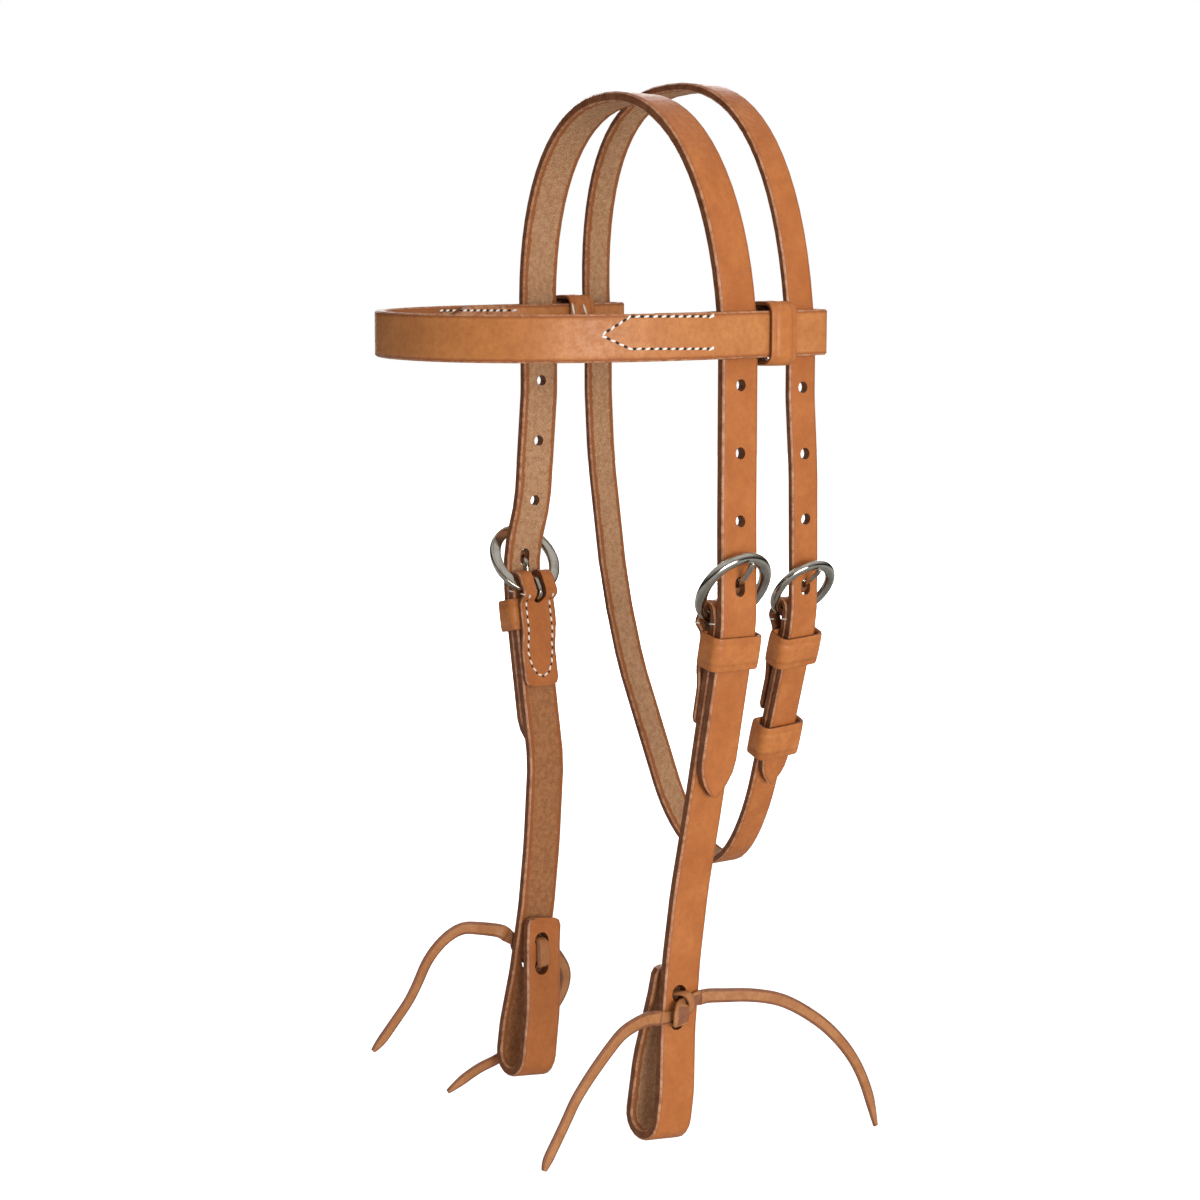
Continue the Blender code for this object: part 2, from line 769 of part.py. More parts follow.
def lower_loop(far, near):
    """Under the throat, a smooth curve from the far side's foot to the near side's."""
    low = Vector((0, throat_low_back, -throat_low_drop))
    made = []
    for side, foot, slant in ((-1, far, throat_foot_slant_share), (1, near, throat_slant_share)):
        way = Vector((-side * slant, throat_lean_share, -1))
        a, b = foot, foot + way * throat_side_pull
        c = low + Vector((side * throat_low_pull, 0, 0))
        half = []
        for k in range(throat_low_steps + 1):
            t = k / throat_low_steps
            half.append(a * (1 - t) ** 3 + b * (3 * t * (1 - t) ** 2) + c * (3 * t**2 * (1 - t))
                        + low * t**3)
        made += half[1:] if side < 0 else list(reversed(half))[1:]
    return [at(p, 0, throat_width, throat_thickness) for p in made]


def brow_side():
    """Near side stations of the browband's outer layer, from its fold to the middle of its front."""
    out = arm_half + strap_thickness / 2 + gap + brow_thickness / 2
    behind = throat_arm_back + throat_width / 2 + brow_fold_room
    made = [(out, behind), (out, -brow_start)]
    depth = brow_front - brow_start
    for k in range(1, brow_steps + 1):
        turn = math.pi / 2 * k / brow_steps
        x = out * math.cos(turn) ** (2 / brow_share) if k < brow_steps else 0.0
        made.append((x, -brow_start - depth * math.sin(turn) ** (2 / brow_share)))
    return made


def brow_station(x, y, width=brow_width):
    return at((x, y, -brow_drop), 0, width, brow_thickness)


def brow_rise(x, y):
    """How far the browband's tilt lifts it at a place: it sits higher at the back and far side."""
    return brow_lift - brow_roll_share * x + brow_pitch_share * y


def brow_fold_radius():
    return strap_thickness / 2 + gap + brow_thickness / 2


def build_browband():
    outer = brow_side()
    radius = brow_fold_radius()
    behind = outer[0][1]
    side = [brow_station(x, y) for x, y in outer[1:]]
    fold = []
    for k in range(brow_fold_steps + 1):
        turn = math.pi * k / brow_fold_steps
        x = arm_half - brow_slack / 2 + (radius + brow_slack / 2) * math.cos(turn)
        fold.append(brow_station(x, behind + radius * math.sin(turn)))
    inner = brow_return(outer)
    near = list(reversed(inner)) + list(reversed(fold)) + side
    stations = near + [mirror(s) for s in reversed(near[:-1])]
    for station in stations:
        station["point"].z += brow_rise(station["point"].x, station["point"].y)
    return sub_part("browband", strip(stations, Vector((0, 0, 1)), brow_bevel), grain)


def brow_return(outer):
    """The turned-back end: in behind the crown strap, then along the outer layer's inner face."""
    inside = arm_half - brow_fold_radius() - brow_slack
    made = [brow_station(inside, -crown_arm_forward - strap_width / 2 - gap)]
    lay = brow_thickness + gap
    travelled = 0.0
    line = [Vector((x, y, 0)) for x, y in outer[1:]]
    for a, b in zip(line, line[1:]):
        along = (b - a).normalized()
        for k in range(return_steps):
            here = a.lerp(b, k / return_steps)
            far = travelled + (here - a).length
            if far < return_step_in or far > return_length:
                continue
            place = here - outward(along) * lay
            left = return_length - far
            share = min(1.0, point_share + (1 - point_share) * left / return_point)
            made.append(brow_station(place.x, place.y, brow_width * share))
        travelled += (b - a).length
    return made


def outward(along):
    """Outwards from the browband's curve, for a run that goes forwards on the near side."""
    return Vector((-along.y, along.x, 0))


def build_brow_keeper(name, mirrored):
    """A loop round both layers of the browband, between the two straps, lapped on its inside."""
    radius = brow_fold_radius()
    middle = (throat_arm_back - throat_width / 2 - crown_arm_forward + strap_width / 2) / 2
    half_x = radius + brow_thickness / 2 + keeper_gap + brow_keeper_thickness / 2
    inner_x = half_x + brow_slack
    half_z = brow_width / 2 + brow_keeper_slack + brow_keeper_thickness / 2
    lay = brow_keeper_thickness + gap
    bend = brow_keeper_thickness * brow_keeper_bend_share

    drop = brow_drop - brow_rise(-arm_half if mirrored else arm_half, middle)

    def place(n, z, turned):
        return at((arm_half + n, middle, z - drop), turned, brow_keeper_width,
                  brow_keeper_thickness)

    route = [
        place(-inner_x, -brow_keeper_lap / 2, 0),
        place(-inner_x, half_z, bend),
        place(half_x, half_z, bend),
        place(half_x, -half_z, bend),
        place(-inner_x - lay, -half_z, bend),
        place(-inner_x - lay, brow_keeper_lap / 2, 0),
    ]
    rings = strip(rounded(route), Vector((0, 1, 0)), keeper_bevel)
    return sub_part(name, rings, keeper_leather, mirrored=mirrored)


def build_keeper(name, buckle, stack, drop, height, room, open_back, mirrored=False):
    """A leather loop round the billet and the leg behind it. Its ends lie under the chape, where
    they are stitched, or lap each other on the inside of a loose one."""
    turn, slant, lean = stack
    along = Vector((-slant, lean, -1)).normalized()
    across = (Vector((0, 1, 0)) - along * along.y).normalized()
    out = along.cross(across)
    middle = down_stack(turn, slant, lean, 0, drop + height / 2)
    half = keeper_thickness / 2
    front = buckle.billet / 2 + keeper_gap + half
    back = -(buckle.billet / 2 + gap + buckle.leg + keeper_gap / 2 + half)
    side = buckle.width / 2 + room + half
    tight = keeper_thickness

    def place(n, y, turned):
        return at(middle + out * n + across * y, turned, height, keeper_thickness)

    lay = 0.0 if open_back else keeper_thickness + gap
    lap = -keeper_open if open_back else keeper_lap / 2
    route = [
        place(back, lap, 0),
        place(back, -side, tight),
        place(front, -side, keeper_bend),
        place(front, side, keeper_bend),
        place(back - lay, side, tight),
        place(back - lay, -lap, 0),
    ]
    rings = strip(rounded(route), along, keeper_bevel)
    made = sub_part(name, rings, keeper_leather, mirrored=mirrored)
    return made, middle, along


def tie_frame(side):
    """The middle between the two holes, on the cheek strap's outer face: out, right and down as
    someone who stands outside sees them."""
    down = Vector((0, loop_lean_share, -1)).normalized()
    low = tie_hole_top + tie_hole_pitch / 2
    middle = bit_loop(loop_spread_out * low / loop_spread_down, low)
    middle += Vector((strap_thickness / 2, -tie_hole_forward, 0))
    middle.x *= side
    return middle, Vector((side, 0, 0)), Vector((0, side, 0)), down


# The lace's way through the knot, chosen by hand: out as a share of the strap's thickness, right
# as a share of its width, down as a share of the two holes' pitch, the lace's width as a share,
# and the way its width lies, right and down.
knot_shares = (
    (0.38, -0.55, 0.2, 0.96, 0.0, 1.0),
    (0.36, -0.38, 0.24, 0.84, 0.0, 1.0),
    (0.34, -0.16, 0.22, 0.6, 0.0, 1.0),
    (0.45, 0.04, 0.21, 0.52, 0.3, 0.95),
    (0.82, 0.18, 0.07, 0.54, 0.8, 0.5),
    (1.0, 0.19, -0.22, 0.58, 0.95, 0.1),
    (0.87, 0.1, -0.49, 0.6, 0.95, -0.1),
    (0.36, 0.04, -0.55, 0.72, 1.0, 0.0),
    (-0.33, 0.0, -0.5, 0.88, 1.0, 0.0),
    (-1.44, 0.0, -0.5, 0.88, 1.0, 0.0),
    (-2.53, 0.0, -0.52, 0.88, 1.0, 0.0),
    (-3.2, 0.0, -0.34, 1.0, 1.0, 0.0),
    (-3.4, 0.0, 0.0, 1.08, 1.0, 0.0),
    (-3.6, 0.0, 0.34, 1.0, 1.0, 0.0),
    (-2.98, 0.0, 0.52, 0.88, 1.0, 0.0),
    (-1.67, 0.0, 0.5, 0.88, 1.0, 0.0),
    (-0.33, 0.0, 0.5, 0.88, 1.0, 0.0),
    (0.58, -0.03, 0.55, 0.84, 1.0, 0.0),
    (1.24, -0.12, 0.42, 1.12, 1.0, 0.0),
    (1.42, -0.16, 0.08, 1.25, 1.0, 0.0),
    (1.2, -0.12, -0.2, 0.92, 1.0, 0.1),
    (0.5, 0.03, -0.23, 0.52, 0.7, 0.7),
    (0.34, 0.22, -0.24, 0.66, 0.1, 1.0),
    (0.36, 0.38, -0.24, 0.86, 0.0, 1.0),
    (0.38, 0.54, -0.25, 1.0, 0.0, 1.0),
)

# The far tie's last run, which climbs towards its front tail
far_end_shares = (
    (0.34, 0.22, -0.3, 0.66, 0.1, 1.0),
    (0.36, 0.38, -0.42, 0.86, 0.1, 1.0),
    (0.38, 0.54, -0.6, 1.0, 0.2, 0.95),
)


def knot_stations(side):
    middle, out, right, down = tie_frame(side)
    shares = knot_shares if side > 0 else knot_shares[:-len(far_end_shares)] + far_end_shares
    corners = []
    for n, w, s, share, across, low in shares:
        point = middle + out * (n * strap_thickness) + right * (w * strap_width)
        point += down * (s * tie_hole_pitch)
        ref = (right * across + down * low).normalized()
        corners.append(at(point, 0, lace_width * share, lace_thickness, ref))
    return smoothed(corners, lace_steps)


def build_tie(name, side):
    rings = strip(knot_stations(side), Vector((0, 1, 0)), lace_bevel)
    return sub_part(name, rings, lace, smooth=True)


# The free tails of the ties, from the knot outwards, chosen by hand: how far each point lies from
# the middle of its tie along X, Y and Z
tail_routes = dict(
    near_front=(1, (
        (0.0043, -0.0231, -0.0008),
        (0.0063, -0.0341, -0.0030),
        (0.0078, -0.0416, -0.0073),
        (0.0088, -0.0488, -0.0130),
        (0.0088, -0.0551, -0.0195),
        (0.0083, -0.0609, -0.0270),
        (0.0083, -0.0655, -0.0345),
        (0.0083, -0.0703, -0.0421),
        (0.0083, -0.0751, -0.0496),
        (0.0083, -0.0771, -0.0539),
    )),
    near_rear=(1, (
        (0.0048, 0.0219, 0.0027),
        (0.0083, 0.0355, 0.0012),
        (0.0118, 0.0511, -0.0034),
        (0.0153, 0.0678, -0.0143),
        (0.0173, 0.0792, -0.0253),
        (0.0183, 0.0873, -0.0359),
        (0.0188, 0.0929, -0.0463),
        (0.0188, 0.0971, -0.0567),
        (0.0188, 0.1008, -0.0694),
    )),
    far_front=(-1, (
        (-0.0088, -0.0206, 0.0105),
        (-0.0123, -0.0283, 0.0108),
        (-0.0158, -0.0362, 0.0056),
        (-0.0188, -0.0431, -0.0036),
        (-0.0203, -0.0473, -0.0130),
        (-0.0213, -0.0521, -0.0221),
        (-0.0223, -0.0590, -0.0309),
        (-0.0233, -0.0662, -0.0396),
        (-0.0238, -0.0709, -0.0442),
    )),
    far_rear=(-1, (
        (-0.0023, 0.0214, -0.0100),
        (-0.0038, 0.0264, -0.0190),
        (-0.0063, 0.0253, -0.0298),
        (-0.0083, 0.0171, -0.0405),
        (-0.0093, 0.0060, -0.0487),
        (-0.0098, -0.0084, -0.0558),
        (-0.0103, -0.0196, -0.0588),
        (-0.0103, -0.0296, -0.0629),
        (-0.0103, -0.0378, -0.0670),
    )),
)
tail_mid_share = 0.78
tail_narrow_share = 0.7
tail_tip_share = 0.34


def build_tail(name, key):
    """A free tail: it starts face to face with the knot's lace and narrows to its tip."""
    side, points = tail_routes[key]
    first = key in ("near_front", "far_rear")
    stations = knot_stations(side)
    face, inner = stations[:2] if first else (stations[-1], stations[-2])
    way = (face["point"] - inner["point"]).normalized()
    start = face["point"] + way * gap
    run = lace_width / 2
    middle, out, right, down = tie_frame(side)
    places = [start, start + way * run] + [middle + Vector(p) for p in points]
    corners = []
    flip = 1 if way.cross(out).z < 0 else -1
    for k, place in enumerate(places):
        before = places[max(k - 1, 0)]
        after = places[min(k + 1, len(places) - 1)]
        along = (after - before).normalized()
        across = face["ref"] if k < 2 else along.cross(out) * flip
        t = k / (len(places) - 1)
        share = 1 + (tail_mid_share - 1) * min(1.0, t / tail_narrow_share)
        if k == len(places) - 1:
            share = tail_tip_share
        corners.append(at(place, 0, lace_width * share, lace_thickness, across.normalized()))
    stations = smoothed(corners, lace_steps)
    stations = stations[:1] + stations[lace_steps:]
    length = sum((b["point"] - a["point"]).length for a, b in zip(stations, stations[1:]))
    print(name, "length", round(length, 4))
    return sub_part(name, strip(stations, down, lace_bevel), lace, smooth=True)


def set_origin(made, pivot, parent=None):
    """Moves an object's origin to its joint's axis and leaves its mesh where it is."""
    pivot = Vector(pivot)
    for vertex in made.data.vertices:
        vertex.co -= pivot
    base = parent.location if parent else Vector((0, 0, 0))
    made.location = pivot - base
    if parent:
        made.parent = parent


def flipped(point, side):
    return Vector((side * point.x, point.y, point.z))


def build_buckle(name, buckle, side):
    """The frame turns in the strap's fold and the tongue turns on the frame's bar."""
    mirrored = side < 0
    frame = sub_part(f"{name}_frame", rim_rings(buckle), metal, closed=True, mirrored=mirrored,
                     smooth=True)
    tongue = sub_part(f"{name}_tongue", wire_rings(tongue_route(buckle), buckle.wire), metal,
                      mirrored=mirrored, smooth=True)
    pivot = flipped(buckle.tongue_pivot(), side)
    set_origin(frame, flipped(buckle.frame_pivot(), side))
    set_origin(tongue, pivot, frame)
    print(name, "frame pivot", tuple(round(v, 5) for v in frame.location),
          "tongue pivot", tuple(round(v, 5) for v in pivot))


clear_scene()
grain = leather("russet_leather", grain_colour)
keeper_leather = leather("keeper_leather", keeper_colour)
lace = leather("lace_leather", lace_colour, 0.6)
metal = surface("nickel", metal_colour, 0.2, 1.0)

build_crown()
build_throat()
browband = build_browband()
set_origin(browband, (0, 0, -brow_drop))
cheek = Buckle(**cheek_buckle)
cheek_stack = (Vector((cheek.origin.x, cheek.origin.y, -stack_drop)), stack_slant_share, stack_lean_share)
for side, name in ((1, "near"), (-1, "far")):
    set_origin(build_brow_keeper(f"browband_keeper_{name}", side < 0), (0, 0, -brow_drop), browband)
    build_cheek(f"cheek_strap_{name}", side < 0)
    build_buckle(f"cheek_buckle_{name}", cheek, side)
    build_keeper(f"cheek_keeper_{name}", cheek, cheek_stack, cheek_keeper_drop, keeper_height,
                 keeper_side_gap, True, side < 0)
    build_tie(f"bit_tie_{name}", side)
for key in tail_routes:
    build_tail(f"bit_tie_tail_{key}", key)
latch = Buckle(**throat_buckle)
latch_turn = Vector((latch.origin.x, latch.origin.y, -throat_stack_drop))
latch_stack = (latch_turn, throat_slant_share, throat_lean_share)
build_buckle("throat_buckle", latch, 1)
build_keeper("throat_keeper_fixed", latch, latch_stack, throat_keeper_drop, keeper_height,
             throat_keeper_room, True)
slider, middle, along = build_keeper("throat_keeper_sliding", latch, latch_stack,
                                     throat_slide_drop, throat_slide_height,
                                     throat_keeper_room, False)
set_origin(slider, middle)
print("sliding keeper", tuple(round(v, 5) for v in middle), tuple(round(v, 4) for v in along))
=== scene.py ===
import math

import bmesh
import bpy
import numpy as np
from mathutils import Matrix, Vector
from mathutils.bvhtree import BVHTree


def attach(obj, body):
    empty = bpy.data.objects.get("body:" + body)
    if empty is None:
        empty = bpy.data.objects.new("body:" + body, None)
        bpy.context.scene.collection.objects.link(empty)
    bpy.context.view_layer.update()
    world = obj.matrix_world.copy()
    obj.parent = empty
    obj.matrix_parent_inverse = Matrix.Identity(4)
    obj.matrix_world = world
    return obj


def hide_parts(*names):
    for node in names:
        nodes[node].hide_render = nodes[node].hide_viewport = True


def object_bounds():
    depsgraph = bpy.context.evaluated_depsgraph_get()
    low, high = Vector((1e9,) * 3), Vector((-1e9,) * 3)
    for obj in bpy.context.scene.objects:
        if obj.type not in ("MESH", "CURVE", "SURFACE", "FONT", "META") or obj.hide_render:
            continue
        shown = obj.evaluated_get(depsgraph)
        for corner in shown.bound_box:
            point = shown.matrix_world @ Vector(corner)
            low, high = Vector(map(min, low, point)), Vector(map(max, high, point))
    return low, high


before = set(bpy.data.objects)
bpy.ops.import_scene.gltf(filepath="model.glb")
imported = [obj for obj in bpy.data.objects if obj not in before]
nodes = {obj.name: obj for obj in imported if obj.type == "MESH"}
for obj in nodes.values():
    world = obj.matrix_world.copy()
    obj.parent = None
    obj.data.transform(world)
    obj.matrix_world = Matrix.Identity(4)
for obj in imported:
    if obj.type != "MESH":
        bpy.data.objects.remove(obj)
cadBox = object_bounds()
scene = bpy.context.scene
print("frame loaded:", len(nodes), "nodes")

# Camera
cameraView = {
    "azimuth": 54.0,
    "elevation": 6.68,
    "distance": 0.996,
    "target": (-0.0083, -0.0138, -0.2208),
    "lens": 65.76,
    "sensor": 36.0,
    "clip": (0.01, 30.0),
}


def addCamera(view):
    turn, lift = math.radians(view["azimuth"]), math.radians(view["elevation"])
    away = Vector((math.sin(turn) * math.cos(lift), -math.cos(turn) * math.cos(lift), math.sin(lift)))
    data = bpy.data.cameras.new("camera")
    data.lens = view["lens"]
    data.sensor_width = view["sensor"]
    data.clip_start, data.clip_end = view["clip"]
    made = bpy.data.objects.new("camera", data)
    scene.collection.objects.link(made)
    made.location = Vector(view["target"]) + away * view["distance"]
    made.rotation_euler = (-away).to_track_quat("-Z", "Y").to_euler()
    scene.camera = made


addCamera(cameraView)


# Node helpers
def addNode(tree, kind, values=None, **settings):
    made = tree.nodes.new(kind)
    for key, value in settings.items():
        setattr(made, key, value)
    for key, value in (values or {}).items():
        made.inputs[key].default_value = value
    return made


def join(tree, source, target):
    tree.links.new(source, target)


def mathNode(tree, operation, a, b=None, c=None, clamp=False):
    made = tree.nodes.new("ShaderNodeMath")
    made.operation = operation
    made.use_clamp = clamp
    for slot, value in enumerate((a, b, c)):
        if value is None:
            continue
        if hasattr(value, "links"):
            tree.links.new(value, made.inputs[slot])
        else:
            made.inputs[slot].default_value = value
    return made.outputs[0]


def mixColour(tree, mask, a, b, blend="MIX"):
    made = tree.nodes.new("ShaderNodeMix")
    made.data_type = "RGBA"
    made.blend_type = blend
    for slot, value in ((0, mask), (6, a), (7, b)):
        if hasattr(value, "links"):
            tree.links.new(value, made.inputs[slot])
        elif slot == 0:
            made.inputs[slot].default_value = value
        else:
            made.inputs[slot].default_value = (*value, 1.0)
    return made.outputs[2]


def rampNode(tree, value, stops):
    made = tree.nodes.new("ShaderNodeValToRGB")
    tree.links.new(value, made.inputs[0])
    ramp = made.color_ramp
    while len(ramp.elements) < len(stops):
        ramp.elements.new(0.5)
    for element, (place, level) in zip(ramp.elements, stops):
        element.position = place
        element.color = (level, level, level, 1.0)
    return made.outputs[0]


def newGroup(name, inputs, outputs):
    group = bpy.data.node_groups.new(name, "ShaderNodeTree")
    for label, kind, value in inputs:
        made = group.interface.new_socket(name=label, in_out="INPUT", socket_type=kind)
        if value is not None:
            made.default_value = value
    for label, kind in outputs:
        group.interface.new_socket(name=label, in_out="OUTPUT", socket_type=kind)
    return group, group.nodes.new("NodeGroupInput").outputs, group.nodes.new("NodeGroupOutput").inputs


# Shared effects
marksShape = {
    "speckScale": 0.28,
    "wrinkleScale": 0.45,
    "poreDepth": 0.5,
    "cloudStops": ((0.3, 0.0), (0.7, 1.0)),
    "speckStops": ((0.42, 0.0), (0.62, 1.0)),
}


def buildLeatherMarks(shape):
    # Pores, wrinkles and soft clouds of tone. The scales are shares of the pores' own
    group, given, out = newGroup(
        "leatherMarks",
        [("Vector", "NodeSocketVector", None), ("Pore Size", "NodeSocketFloat", 0.0006),
         ("Cloud Size", "NodeSocketFloat", 0.012), ("Streak", "NodeSocketFloat", 1.0)],
        [("Clouds", "NodeSocketFloat"), ("Specks", "NodeSocketFloat"), ("Height", "NodeSocketFloat")],
    )
    cloudScale = mathNode(group, "DIVIDE", 1.0, given["Cloud Size"])
    poreScale = mathNode(group, "DIVIDE", 1.0, given["Pore Size"])
    clouds = addNode(group, "ShaderNodeTexNoise", {"Detail": 4.0, "Roughness": 0.6, "Distortion": 0.4})
    join(group, given["Vector"], clouds.inputs["Vector"])
    join(group, cloudScale, clouds.inputs["Scale"])
    specks = addNode(group, "ShaderNodeTexNoise", {"Detail": 3.0, "Roughness": 0.7})
    join(group, given["Vector"], specks.inputs["Vector"])
    join(group, mathNode(group, "MULTIPLY", poreScale, shape["speckScale"]), specks.inputs["Scale"])
    pores = addNode(group, "ShaderNodeTexVoronoi", {"Randomness": 1.0}, feature="F1")
    join(group, given["Vector"], pores.inputs["Vector"])
    join(group, poreScale, pores.inputs["Scale"])
    wrinkles = addNode(group, "ShaderNodeTexNoise", {"Detail": 2.0, "Distortion": 1.2})
    join(group, given["Vector"], wrinkles.inputs["Vector"])
    join(group, mathNode(group, "MULTIPLY", poreScale, shape["wrinkleScale"]), wrinkles.inputs["Scale"])
    poreHeight = mathNode(group, "MULTIPLY", pores.outputs["Distance"], shape["poreDepth"])
    wrinkleHeight = mathNode(group, "MULTIPLY", wrinkles.outputs[0], given["Streak"])
    join(group, rampNode(group, clouds.outputs[0], shape["cloudStops"]), out["Clouds"])
    join(group, rampNode(group, specks.outputs[0], shape["speckStops"]), out["Specks"])
    join(group, mathNode(group, "ADD", poreHeight, wrinkleHeight), out["Height"])
    return group


def buildEdgeBand():
    # UV holds millimetres: U from the left edge, V the strap's width there.
    # Band is 1 along both edges, Dome falls off towards them
    group, given, out = newGroup(
        "edgeBand",
        [("UV", "NodeSocketVector", None), ("Vector", "NodeSocketVector", None),
         ("Width", "NodeSocketFloat", 1.5), ("Ragged", "NodeSocketFloat", 0.5),
         ("Soft", "NodeSocketFloat", 0.8), ("Round", "NodeSocketFloat", 1.6)],
        [("Band", "NodeSocketFloat"), ("Dome", "NodeSocketFloat")],
    )
    split = group.nodes.new("ShaderNodeSeparateXYZ")
    join(group, given["UV"], split.inputs[0])
    rest = mathNode(group, "SUBTRACT", split.outputs[1], split.outputs[0])
    near = mathNode(group, "MINIMUM", split.outputs[0], rest)
    waver = addNode(group, "ShaderNodeTexNoise", {"Scale": 320.0, "Detail": 3.0})
    join(group, given["Vector"], waver.inputs["Vector"])
    middle = mathNode(group, "SUBTRACT", waver.outputs[0], 0.5)
    shift = mathNode(group, "MULTIPLY", middle, given["Ragged"])
    inner = mathNode(group, "ADD", near, shift)
    left = mathNode(group, "SUBTRACT", given["Width"], inner)
    join(group, mathNode(group, "DIVIDE", left, given["Soft"], clamp=True), out["Band"])
    rise = mathNode(group, "DIVIDE", near, given["Round"], clamp=True)
    low = mathNode(group, "SUBTRACT", 1.0, rise)
    join(group, mathNode(group, "SUBTRACT", 1.0, mathNode(group, "MULTIPLY", low, low)), out["Dome"])
    return group


leatherMarks = buildLeatherMarks(marksShape)
edgeBand = buildEdgeBand()


def newMaterial(name, roughness, metallic=0.0, specular=0.5):
    made = bpy.data.materials.new(name)
    made.use_nodes = True
    tree = made.node_tree
    shader = tree.nodes["Principled BSDF"]
    shader.inputs["Roughness"].default_value = roughness
    shader.inputs["Metallic"].default_value = metallic
    shader.inputs["Specular IOR Level"].default_value = specular
    coords = tree.nodes.new("ShaderNodeTexCoord")
    return made, tree, shader, coords


def useMarks(tree, coords, look):
    marks = addNode(tree, "ShaderNodeGroup", node_tree=leatherMarks)
    marks.inputs["Pore Size"].default_value = look["poreSize"]
    marks.inputs["Cloud Size"].default_value = look["cloudSize"]
    marks.inputs["Streak"].default_value = look["streak"]
    join(tree, coords.outputs["Object"], marks.inputs["Vector"])
    return marks


def addBump(tree, shader, height, strength, distance, under=None):
    bump = addNode(tree, "ShaderNodeBump", {"Strength": strength, "Distance": distance})
    join(tree, height, bump.inputs["Height"])
    if under:
        join(tree, under.outputs[0], bump.inputs["Normal"])
    join(tree, bump.outputs[0], shader.inputs["Normal"])
    return bump


def buildGrainMaterial(name, look):
    made, tree, shader, coords = newMaterial(name, look["roughness"], specular=look["specular"])
    marks = useMarks(tree, coords, look)
    band = addNode(tree, "ShaderNodeGroup", node_tree=edgeBand)
    for label, key in (("Width", "bandWidth"), ("Ragged", "ragged"), ("Soft", "bandSoft"),
                       ("Round", "roundWidth")):
        band.inputs[label].default_value = look[key]
    join(tree, coords.outputs["UV"], band.inputs["UV"])
    join(tree, coords.outputs["Object"], band.inputs["Vector"])
    colour = mixColour(tree, marks.outputs["Clouds"], look["colour"], look["cloudColour"])
    fleck = mathNode(tree, "MULTIPLY", marks.outputs["Specks"], look["speckShare"])
    colour = mixColour(tree, fleck, colour, look["speckColour"])
    bandShare = mathNode(tree, "MULTIPLY", band.outputs["Band"], look["bandShare"])
    colour = mixColour(tree, bandShare, colour, look["bandColour"])
    join(tree, colour, shader.inputs["Base Color"])
    rough = mathNode(tree, "MULTIPLY_ADD", marks.outputs["Specks"], look["roughSwing"], look["roughness"])
    join(tree, rough, shader.inputs["Roughness"])
    dome = addBump(tree, shader, band.outputs["Dome"], 1.0, look["roundDepth"])
    addBump(tree, shader, marks.outputs["Height"], look["bump"], look["bumpDepth"], dome)
    return made


def buildEdgeMaterial(name, look):
    made, tree, shader, coords = newMaterial(name, look["roughness"], specular=look["specular"])
    marks = useMarks(tree, coords, look)
    colour = mixColour(tree, marks.outputs["Clouds"], look["colour"], look["cloudColour"])
    fleck = mathNode(tree, "MULTIPLY", marks.outputs["Specks"], look["speckShare"])
    colour = mixColour(tree, fleck, colour, look["speckColour"])
    join(tree, colour, shader.inputs["Base Color"])
    addBump(tree, shader, marks.outputs["Height"], look["bump"], look["bumpDepth"])
    return made


# Leather finishes
grainLook = {
    "colour": (0.438, 0.145, 0.035),
    "cloudColour": (0.352, 0.102, 0.021),
    "speckColour": (0.28, 0.078, 0.016),
    "bandColour": (0.23, 0.055, 0.012),
    "speckShare": 0.3,
    "bandShare": 0.55,
    "bandWidth": 0.9,
    "bandSoft": 0.8,
    "ragged": 0.5,
    "roundWidth": 1.6,
    "roundDepth": 0.00022,
    "roughness": 0.4,
    "roughSwing": 0.14,
    "specular": 0.32,
    "poreSize": 0.0007,
    "cloudSize": 0.016,
    "streak": 0.7,
    "bump": 0.25,
    "bumpDepth": 0.0003,
}
fleshLook = {
    "colour": (0.485, 0.278, 0.152),
    "cloudColour": (0.425, 0.228, 0.118),
    "speckColour": (0.26, 0.115, 0.05),
    "bandColour": (0.29, 0.095, 0.03),
    "speckShare": 0.48,
    "bandShare": 0.92,
    "bandWidth": 2.0,
    "bandSoft": 0.5,
    "ragged": 2.4,
    "roundWidth": 1.2,
    "roundDepth": 0.00015,
    "roughness": 0.88,
    "roughSwing": 0.08,
    "specular": 0.12,
    "poreSize": 0.0006,
    "cloudSize": 0.0026,
    "streak": 1.0,
    "bump": 0.85,
    "bumpDepth": 0.0006,
}
edgeLook = {
    "colour": (0.185, 0.060, 0.020),
    "cloudColour": (0.11, 0.032, 0.011),
    "speckColour": (0.29, 0.12, 0.05),
    "speckShare": 0.35,
    "roughness": 0.5,
    "specular": 0.22,
    "poreSize": 0.0009,
    "cloudSize": 0.006,
    "streak": 1.0,
    "bump": 0.3,
    "bumpDepth": 0.0003,
}
# The line on the bevel between side and edge is lighter than the edge, with light flecks: partly a burnished
# edge, partly a painted highlight where the rounded bevel catches the light
lineSheenLook = dict(edgeLook, colour=(0.38, 0.145, 0.055), cloudColour=(0.24, 0.08, 0.028),
                speckColour=(0.58, 0.33, 0.19), speckShare=0.5, roughness=0.42, specular=0.35)
# A darker copy of the flesh for the far cheek strap, whose flesh side faces into the headstall: painted
# shade
shadedFleshLook = dict(fleshLook, colour=(0.385, 0.172, 0.074), cloudColour=(0.325, 0.135, 0.054),
                     speckColour=(0.2, 0.072, 0.026))
keeperLook = dict(grainLook, colour=(0.485, 0.172, 0.043), cloudColour=(0.395, 0.122, 0.027),
                  bandWidth=0.5, bandSoft=1.7, bandShare=0.6, ragged=0.4, cloudSize=0.01,
                  roundWidth=3.2, roundDepth=0.0005)
keeperLineLook = dict(edgeLook, colour=(0.30, 0.10, 0.04), cloudColour=(0.2, 0.065, 0.026))
browLook = dict(grainLook, colour=(0.495, 0.192, 0.056), cloudColour=(0.395, 0.138, 0.034), bandWidth=1.3,
                bandShare=0.8, bandSoft=1.1, ragged=0.7, roundWidth=2.2, roundDepth=0.0004)
